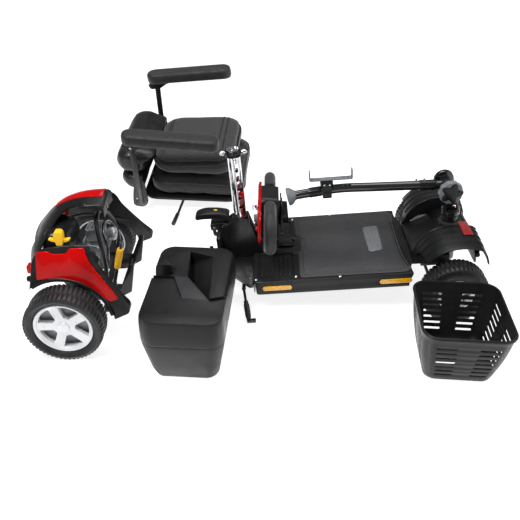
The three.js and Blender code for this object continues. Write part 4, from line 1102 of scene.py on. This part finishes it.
def seat_frame():
    refined("seat_socket", "steel", 1.0)
    refined("seat_pan", "plastic", 2.0)
    refined("swivel_lever", "steel", 0.8)
    pad = stack(398, 78, 36, [(15, 0.95, 0.62), (18, 0.975, 0.84), (26, 1.0, 0.97), (36, 1.0, 1.0),
                              (52, 1.0, 1.0), (60, 0.99, 0.93), (65, 0.975, 0.78), (68, 0.95, 0.5)], 10,
                centre=(162, -272))

    def arc(c):
        ahead = (c.x - 162) / 199
        return Vector((c.x, c.y, c.z - 10 * max(0, ahead) ** 2.2 - 4 * max(0, -ahead) ** 2))

    # The gap in the pad and its base clears the post when the arm is tipped up.
    gap = block((-60, -277.5, -30), (24, -266.5, 22))
    base = prism(rounded([(-24, 18, 4), (-40, 8, 8), (-30, -14, 8), (14, -14, 8), (54, 8, 10),
                          (190, 13, 10), (326, 12, 8), (334, 18, 2)], steps=5), "y", -290, -254)
    bolt = lathe([(0.4, -22), (5, -22), (6.5, -20), (6.5, -18), (0.4, -18)], (0, -272, 0), "y", 6)
    plate = prism(rounded([(-252, 76, 20), (-204, 70, 20), (-182, 96, 16), (-188, 210, 18),
                           (-228, 218, 18), (-246, 140, 30)], steps=6), "y", -268, -262)
    hole = rod((-228, -280, 112), (-228, -250, 112), 7)
    pivot = Matrix.Translation((-216, 0, 388))
    for (word, frame_place), droop in zip(sided(SEAT), (2, -7)):
        refined(f"arm_bar_{word}", "steel", 1.0)
        place = frame_place @ pivot @ Matrix.Rotation(math.radians(droop), 4, "Y")
        obj = piece(f"arm_pad_{word}_foam", pad.bent(arc), place, "pad", f"arm_{word}",
                    cuts=(gap,), subdivide=1, replaces=(f"arm_pad_{word}",))
        piece(f"arm_base_{word}", base, place, "plastic", f"arm_{word}", cuts=(gap,), edge=2, steps=3)
        piece(f"arm_bolt_{word}", bolt, place, "zinc", f"arm_{word}", slot="black_foam", edge=0.5)
        piece(f"arm_bracket_{word}", plate, frame_place, "steel", "seat", cuts=(hole,), edge=1)


# ---- front chassis ----
DECK = {"length": 560, "half": 217, "skirt": 53}
WHEEL_X = 681
KINGPIN_Y = 186


def wheel_wells():
    """The room that the front wheels sweep as they steer, outside the chassis."""
    sweep = [(0.5, -200), (149, -200), (149, -42), (142, -18), (134, 2), (122, 22), (106, 41), (60, 50),
             (0.5, 50)]
    return [lathe(sweep, (WHEEL_X, sign * KINGPIN_Y, 0), "z", 72) for sign in (-1, 1)]


def deck():
    length, half, skirt = DECK["length"], DECK["half"], DECK["skirt"]
    shape = stack(length, half * 2, 22, [(-skirt, 0.992, 0.99), (-skirt + 4, 0.997, 0.996), (-6, 1.0, 1.0),
                                         (-1.5, 0.999, 0.998), (0, 0.992, 0.99)], 8, centre=(length / 2, 0))
    hollow = block((5, -half + 5, -skirt - 2), (length - 5, half - 5, -9))
    pockets = block((20, -189, -6), (143, -42, 2), 12) + block((4, 74, -6), (143, 184, 2), 12)
    latch_slot = block((86, -6, -8), (152, 50, 3), 5)
    hex_pockets = joined(prism([(x0 - 6, -27), (x0, -38), (x1, -38), (x1 + 6, -27), (x1, -16), (x0, -16)],
                               "y", -half - 2, -half + 2.5) for x0, x1 in ((36, 131), (437, 541)))
    on_chassis("deck_tray_moulding", shape, "deck",
               cuts=(hollow, pockets, latch_slot, both(hex_pockets), *wheel_wells()), edge=1.4, steps=2,
               replaces=("deck_tray",))
    for k, (x0, x1) in enumerate(((36, 131), (437, 541))):
        bar = prism(rounded([(x0 - 4, -27, 1), (x0 + 1, -36, 1), (x1 - 1, -36, 1), (x1 + 4, -27, 1),
                             (x1 - 1, -18, 1), (x0 + 1, -18, 1)], steps=2), "y", -half - 1.4, -half + 2)
        for word, place in sided(FRONT):
            piece(f"side_reflector_{k + 1}_{word}", bar, place, "amber", "chassis", edge=0.8)
    # The mat: two lobes reaching back either side of the tiller head, and a plain tongue between them.
    outline = rounded([(164, -204, 14), (164, -44, 14), (176, -30, 12), (176, 56, 12), (158, 72, 14),
                       (154, 204, 14), (520, 206, 16), (541, 190, 14), (534, 120, 30), (531, 0, 60),
                       (534, -120, 30), (546, -190, 12), (528, -206, 16)], steps=6)
    mat = prism(outline, "z", 0.2, 2.6)
    on_chassis("deck_mat_sheet", mat, "mat", cuts=wheel_wells(), edge=0.8, steps=2, replaces=("deck_mat",))
    inset = rounded([(180, -190, 12), (180, -30, 18), (192, -16, 12), (192, 42, 12), (174, 60, 18),
                     (172, 190, 12), (508, 192, 14), (522, 180, 12), (518, 116, 30), (515, 0, 60),
                     (518, -116, 30), (526, -178, 12), (512, -190, 14)], steps=6)
    line = [Vector((p.x, p.y, 2.6)) for p in inset]
    on_chassis("deck_mat_welt", tube(line, 1.5, 8, closed=True), "mat")
    for k, shift in enumerate((0, -9)):
        groove = curve([(534 + shift, 126, 2.5), (531 + shift, 40, 2.5), (531 + shift, -60, 2.5),
                        (535 + shift, -120, 2.5), (546 + shift, -176, 2.5)], 8)
        on_chassis(f"deck_edge_line_{k + 1}", tube(groove, 1.6, 8), "plastic_smooth", slot="deck_rubber")
    strip = prism(rounded([(413, 98), (470, 102), (467, -64), (417, -74)], 12, 6), "z", 2.4, 3.6)
    on_chassis("deck_reflective_strip", strip, "reflective", edge=0.5)
    rear_pads = Shape()
    for y0, y1 in ((-186, -45), (78, 181)):
        for k in range(7):
            x = 30 + k * 16
            rear_pads += block((x, y0 + 6, -5.9), (x + 7, y1 - 6, -4.2), 3)
    on_chassis("deck_pocket_ribs", rear_pads, "deck", edge=0.5)
    latch = prism(rounded([(92, -7.5), (146, -7.5), (146, 2), (132, 5), (104, 5), (92, 2)], 2, 3), "y", 2, 42)
    on_chassis("deck_latch", latch, "plastic_smooth", edge=1)
    screws = joined(lathe([(0.3, 0), (5, 0), (5.5, 1), (4, 2.6), (0.3, 3)], (x, y * 0.985, 0), "z", 20)
                    for x, y in ((150, -196), (150, 196), (12, -200), (12, 200), (300, -211), (300, 211)))
    on_chassis("deck_screws", screws, "zinc")


ARCH_LINE = [(561, -50), (560, -18), (574, 24), (596, 58), (622, 82), (658, 98), (700, 103), (742, 98),
             (772, 84), (789, 42), (795, -16), (793, -56)]


def front_shroud():
    lip, inner = 232, 97

    def arch(shrink=1.0, drop=0.0):
        made = []
        for x, z in curve(ARCH_LINE, 4):
            share = min(1, max(0, (z + 20) / 110))
            made.append((675 + (x - 675) * shrink, z - drop * (0.35 + 0.65 * share)))
        return made

    def out(c):
        return max(0.0, (abs(c.y) - inner) / (lip - inner))

    def sloped(c):
        """The band drops a little towards its outer edge."""
        return Vector((c.x, c.y, c.z + (6 - 11 * out(c) * out(c)) * (1 if c.z > 0 else 0)))

    def tilted(c):
        return Vector((c.x, c.y, c.z + 12.5 - (c.x - 716) * 0.13 - 11 * out(c) ** 2))

    band = prism([*arch(), (793, -60), (561, -60)], "y", -lip, -inner, 10).bent(sloped)
    hollow = prism([(566, -95), *arch(0.962, 5)[3:-3], (787, -95)], "y", -lip + 4, -inner - 4, 8).bent(sloped)
    opening = prism([(570, -95), *arch(0.945, 8)[3:-3], (782, -95)], "y", -lip - 6, -150, 4)
    well = wheel_wells()[0]
    below = block((540, -300, -130), (830, 300, -54))
    corner = block((545, -240, -130), (560.5, 240, 30))
    # Raised ribs in pairs over the crown of each band, and a bright rolled inner edge.
    crest = curve(ARCH_LINE, 8)[18:66]
    ribs = joined(tube([sloped(Vector((x, y, z))) for x, z in crest], 1.5, 8)
                  for y in (-130, -122, -164, -156, -200, -192))
    rolled = tube([sloped(Vector((x, -inner - 1.5, z - 1))) for x, z in crest], 3.4, 12)
    glow = prism(rounded([(716, -166, 5), (716, -84, 5), (748, -78, 6), (750, -160, 6)], steps=4), "z", 98,
                 100).bent(tilted)
    for word, place in sided(FRONT):
        piece(f"front_arch_{word}", band, place, "shroud", "chassis",
              cuts=(hollow, opening, below, corner, well), edge=2.0, steps=3,
              replaces=("front_shroud",) if word == "right" else ())
        piece(f"front_arch_ribs_{word}", ribs, place, "shroud", "chassis")
        piece(f"front_arch_edge_{word}", rolled, place, "plastic_smooth", "chassis")
        piece(f"front_reflector_{word}", glow, place, "red_reflector", "chassis", edge=0.6)
    floor_line = [(561, -50, 0), (561, 6, 8), (598, 17, 20), (648, 37, 20), (680, 63, 20), (735, 68, 16),
                  (776, 60, 12), (790, 22, 14), (793, -60, 0)]
    under_line = [(566, -80, 0), (566, 1, 6), (599, 12, 20), (650, 32, 20), (682, 58, 20), (734, 63, 14),
                  (771, 55, 10), (785, 18, 12), (787, -80, 0)]
    floor = prism(rounded(floor_line, steps=6), "y", -98, 98)
    under = prism(rounded(under_line, steps=6), "y", -110, 110)
    column = rod((COLUMN_X, 0, -10), (COLUMN_X, 0, 130), 34)
    rails = block((555, -93, -60), (572, 93, -8))
    on_chassis("front_shroud_floor", floor, "shroud",
               cuts=(under, column, below, corner, rails), edge=1.6, steps=2)
    seal = lathe([(29, -6), (34, -6), (40, 0), (38, 5), (31, 7), (29, 4)], (COLUMN_X, 0, 68), "z", 48,
                 closed=True)
    on_chassis("column_seal", seal, "foam")
    bumper = curve([(786, -150, 12), (798, -80, 14), (801, 0, 14), (798, 80, 14), (786, 150, 12)], 8)
    on_chassis("front_bumper_bar", tube([(v.x - 10, v.y, v.z) for v in bumper], 9, 16), "plastic")


def front_mechanism():
    for node in ("front_frame", "post_tower", "tie_rod", "front_knuckle_right", "front_knuckle_left",
                 "support_stand"):
        refined(node, "steel", 1.0)
    refined("steering_yoke", "steel_gloss", 1.2)
    bolts = Shape()
    for y, z in ((-33.5, 146), (33.5, 146), (-33.5, 205), (33.5, 205)):
        x = COLUMN_X if z < 150 else FOLD[0] + 12
        way = 1 if y > 0 else -1
        bolts += lathe([(0.4, 0), (5.5, 0), (6.5, 1.5 * way), (6, 5 * way), (0.4, 5 * way)],
                       (x, y - 1.5 * way, z), "y", 24)
    piece("yoke_bolts", bolts, FRONT, "chrome", "steering", edge=0.5)
    rings_on = joined(lathe([(20, -3), (30, -3), (31.5, 0), (30, 3), (20, 3)], (COLUMN_X, 0, z), "z", 48,
                            closed=True) for z in (99, 107, 115, 123))
    piece("headset_rings", rings_on, FRONT, "steel_gloss", "steering")

    # The star knob that locks the tiller: six lobes, a grey scalloped rim and a dark cap.
    def lobed(middle, swing, count):
        made = []
        for k in range(120):
            a = 2 * math.pi * k / 120
            r = middle + swing * math.cos(count * 2 * math.pi * k / 120)
            made.append(Vector((FOLD[0] + r * math.cos(a), FOLD[2] + r * math.sin(a))))
        return made

    hub = lathe([(0.5, -47), (20, -47), (20, -34), (0.5, -34)], FOLD, "y", 40)
    piece("fold_knob_star", prism(lobed(40, 1.2, 10), "y", -69, -47) + hub, FRONT, "grey", "fold_knob",
          edge=3.5, steps=4, replaces=("fold_knob",))
    piece("fold_knob_cap", prism(lobed(30.5, 7.5, 5), "y", -75.2, -66), FRONT, "plastic_smooth",
          "fold_knob", slot="grey_plastic", edge=2.5, steps=3)
    # Coil spring beside the stand, which holds it down or folded.
    coil = [Vector((-20 + 5 * math.cos(a), -150 + a * 1.0, -44 + 5 * math.sin(a)))
            for a in (2 * math.pi * k / 12 for k in range(12 * 6))]
    on_chassis("stand_spring", tube(coil, 1.4, 8), "chrome")
    for word, sign in SIDES:
        top = Vector((-29, sign * 230, -64))
        foot = Vector((-21, sign * 280, -109))
        sleeve = tube([top.lerp(foot, t) for t in (0.15, 0.2, 0.5, 0.8, 0.9)], [8.4, 10, 10.4, 10, 8.6], 24)
        piece(f"stand_sleeve_{word}", sleeve, FRONT, "foam", "stand")


def seat_post():
    x, top, bottom, r = -35, 404, 30, 22.5
    wall = lathe([(r, bottom), (r, top), (r - 3, top), (r - 3, bottom)], (x, 0, 0), "z", 64, closed=True)
    holes = joined(rod((x, 0, z), (x + 14, -40, z), 5.5) for z in (190, 225, 260, 295, 330, 365))
    flat = block((x - 2.5, -r - 3, 170), (x + 2.5, -r + 0.9, top - 30), 1)
    piece("seat_post_chrome", wall, FRONT, "chrome", "seat_post", cuts=(holes, flat), edge=0.6,
          replaces=("seat_post",))
    ring = lathe([(r + 0.4, top - 24), (27.5, top - 24), (29, top - 22), (29, top - 4), (26, top - 0.5),
                  (r + 0.4, top - 0.5)], (x, 0, 0), "z", 64, closed=True)
    ridge = lathe([(28.6, top - 16), (30.5, top - 15), (30.5, top - 11), (28.6, top - 10)], (x, 0, 0), "z",
                  64, closed=True)
    piece("post_collar_ring", ring + ridge, FRONT, "plastic_smooth", "seat_post", edge=0.7,
          replaces=("post_collar",))
    lugs = Shape()
    for sign in (-1, 1):
        lugs += tube([(x + sign * 27, 0, top - 13), (x + sign * 32, 0, top - 13),
                      (x + sign * 33, 0, top - 13), (x + sign * 40, 0, top - 13)], [6, 6, 8.5, 8], 24)
        lugs += ball((x + sign * 40, 0, top - 13), 7.6, 16)
    piece("post_collar_lugs", lugs, FRONT, "chrome", "seat_post", edge=0.4)


def release_paddle():
    side = rounded([(-84, 147, 3), (-76, 150, 4), (-72, 160, 6), (-80, 168, 6), (-112, 176, 30),
                    (-160, 179, 20), (-188, 173, 10), (-197, 162, 6), (-192, 152, 4), (-170, 157, 14),
                    (-120, 156, 20)], steps=5)
    shape = prism(side, "y", -26, 26, 10).bent(
        lambda c: Vector((c.x, c.y * (1 - 0.18 * max(0, (-150 - c.x) / 47) ** 2), c.z - 0.006 * c.y * c.y)))
    piece("release_paddle_grip", shape, FRONT, "plastic", "release_paddle", edge=3, steps=3,
          replaces=("release_paddle",))
    mark = prism(rounded([(-128, -4), (-114, -7), (-114, -1), (-128, 3)], 1.5, 3), "z", 176.2, 177.4)
    piece("release_mark", mark, FRONT, "yellow", "release_paddle", edge=0.3)
    lug = block((-146, -20, 104), (-62, 20, 128), 6, "y")
    on_chassis("paddle_block", lug, "plastic", edge=2)
    screws = joined(lathe([(0.4, -23), (4.5, -23), (5, -22), (5, -19), (0.4, -19)], (x, 0, 116), "y", 6)
                    for x in (-132, -100))
    on_chassis("paddle_block_screws", screws, "zinc", edge=0.4)


# ---- tiller ----
def tiller():
    path = curve([(676, 0, 214.8), (560, 0, 219.5), (440, 0, 224), (330, 0, 228), (240, 0, 221),
                  (158, 0, 211.8)], 10)
    eye = lathe([(6, -21.5), (17, -21.5), (18, -20.5), (18, 20.5), (17, 21.5), (6, 21.5)], FOLD, "y", 48,
                closed=True)
    boot = tube(curve([(168, 0, 213.4), (160, 0, 212), (150, 0, 210), (139, 0, 207.6)], 3),
                [17, 17.5, 19, 22, 25, 28, 30, 31.5, 32, 32], 32)
    studs = rod((585, 0, 222), (585, 0, 243), 8, 2.5) + rod((612, 0, 222), (612, 0, 243), 8, 2.5)
    on_tiller("tiller_stem_tube", tube(path, 16, 36) + eye, "steel_gloss",
              edge=0.6, replaces=("tiller_stem",))
    on_tiller("tiller_studs", studs, "grey", edge=0.6)
    on_tiller("tiller_boot", boot, "grey", edge=1)
    sleeve = tube(path[2:8], 18.5, 32) + tube(path[38:44], 17.6, 32)
    on_tiller("tiller_sleeves", sleeve, "plastic_smooth", edge=1)

    clamp = joined((block((260, -25, 205), (292, 25, 226), 6, "y"),
                    block((260, -25, 228), (292, 25, 252), 6, "y"),
                    block((254, -14, 246), (298, 14, 262), 3, "y")))
    bore = tube(path, 16.6, 32)
    on_tiller("accessory_clamp_halves", clamp, "plastic", cuts=(bore,),
              edge=1.2, replaces=("accessory_clamp",))
    screws = joined(lathe([(0.3, 0), (3.6, 0), (3.6, 3), (2.8, 4), (0.3, 4)], (x, y, 252), "z", 20)
                    for x in (267, 285) for y in (-21, 21))
    on_tiller("accessory_clamp_screws", screws, "zinc", edge=0.3)
    line = rounded([(216, 300, 0), (216, 264.8, 7), (366, 264.8, 7), (366, 300, 0), (361.5, 300, 0),
                    (361.5, 269.4, 4), (220.5, 269.4, 4), (220.5, 300, 0)], steps=5)
    strip = prism(line, "y", -11, 11)
    holes = joined(rod((x, 0, 255), (x, 0, 280), 3) for x in (232, 246, 336, 350))
    on_tiller("accessory_bracket_strip", strip, "grey", cuts=(holes,), edge=0.8,
              replaces=("accessory_bracket",))


def tiller_head():
    half, grip, housing = 194, 21, 64
    start = housing + 0.4
    for word, place in sided(HEAD):
        path = curve([(0, -start, 59), (0, -start - 30, 60), (0, -half * 0.86, 52), (0, -half, 0),
                      (0, -half * 0.86, -52), (0, -start - 30, -60), (0, -start, -59)], 10)
        n = len(path)
        radii = [grip * (0.9 + 0.1 * min(1, min(k, n - 1 - k) / 5)) for k in range(n)]
        piece(f"loop_grip_{word}_foam", tube(path, radii, 28), place, "foam", "tiller",
              edge=1.5, replaces=(f"loop_grip_{word}",))
        for k, z in enumerate((59, -59)):
            ferrule = tube([(0, -start - 5, z), (0, -start + 6, z)], 19.6, 32)
            piece(f"grip_ferrule_{word}_{k + 1}", ferrule, place, "plastic_smooth", "tiller", edge=1.2)
    box_shape = prism(rounded_rectangle(housing * 2, 160, 22, 8), "x", -30, 30, 6).bent(
        lambda c: Vector((c.x, c.y * (1 - 0.0016 * max(0, c.x)), c.z * (1 - 0.0016 * max(0, c.x)))))
    snout = tube([(24, 0, -2), (34, 0, -1), (46, 0, 0), (64, 0, 2)], [48, 42, 39, 36], 40)
    on_head("head_housing_shell", box_shape + snout, "plastic", edge=2.5, steps=3, replaces=("head_housing",))
    outline = rounded_rectangle(306, 124, 50, 12)
    levels = ((-30.4, 1.0), (-34, 1.0), (-38, 0.985), (-41, 0.95), (-42.5, 0.88), (-43, 0.74))
    cover = rings([[Vector((x, p.x * size, p.y * size)) for p in outline] for x, size in levels])
    holes = rod((-50, -114, -4), (-28, -114, -4), 8.6) + rod((-50, -74, 16), (-41, -74, 16), 18.5)
    on_head("head_cover_lacquer", cover, "red", cuts=(holes,), edge=0.8, replaces=("head_cover",))
    panel = prism(rounded([(-58, -26, 8), (58, -26, 8), (58, 20, 8), (-58, 20, 8)], steps=5), "x", -44.4,
                  -42.6)
    on_head("battery_gauge_panel", panel, "plastic_smooth", edge=0.6)
    lamps = joined(block((-45.4, -30 + k * 14, -6), (-44.2, -22 + k * 14, 2), 2, "x") for k in range(5))
    on_head("battery_gauge_lamps", lamps, "red_clear", edge=0.3)

    wing = rounded([(46, -12, 3), (46, 12, 3), (100, 4, 20), (150, -2, 4), (154, -16, 5), (142, -22, 4),
                    (100, -14, 20)], steps=5)
    lever = both(prism([(-y, z) for y, z in wing], "x", 37.5, 43.5)) + lathe(
        [(42.5, 37.5), (52, 37.5), (52, 43.5), (42.5, 43.5)], (0, 0, -1), "x", 56, closed=True)
    piece("throttle_wings", lever, HEAD, "plastic_smooth", "throttle", edge=1.4, replaces=("throttle_lever",))
    knurl = [(2 * math.pi * k / 72, 13.2 + (0.5 if k % 3 else -0.5)) for k in range(72)]
    grip_ring = [Vector((-74 + r * math.cos(a), 16 + r * math.sin(a))) for a, r in knurl]
    dial = prism(grip_ring, "x", -56, -46) + lathe([(0.5, -46), (17, -46), (18, -44), (18, -42.4),
                                                    (0.5, -42.4)], (0, -74, 16), "x", 40)
    pointer = block((-57.2, -75.2, 17), (-55.6, -72.8, 28), 1, "x")
    piece("speed_dial_knob", dial + pointer, HEAD, "grey", "speed_dial", edge=0.5, replaces=("speed_dial",))
    barrel = lathe([(0.5, -47), (7, -47), (8, -46), (8, -42.6), (0.5, -42.6)], (0, -24, 30), "x", 32)
    bow = prism(rounded([(-26, 19, 6), (-22, 19, 6), (-22, 41, 6), (-26, 41, 6)], 2, 3), "x", -62, -46)
    piece("ignition_key_chrome", barrel + bow, HEAD, "chrome", "ignition_key", edge=1.2, steps=3,
          replaces=("ignition_key",))
    button = lathe([(0.5, -51), (5, -50.6), (7, -49.5), (8, -47), (8, -37.5), (0.5, -37.5)], (0, -114, -4),
                   "x", 40)
    piece("horn_button_cap", button, HEAD, "red_clear", "horn_button", replaces=("horn_button",))


# ---- everything ----
wheels()
deck()
front_shroud()
front_mechanism()
seat_post()
release_paddle()
tiller()
tiller_head()
rear_shroud()
rear_mechanism()
freewheel_lever()
seat()
seat_frame()
battery()
basket()
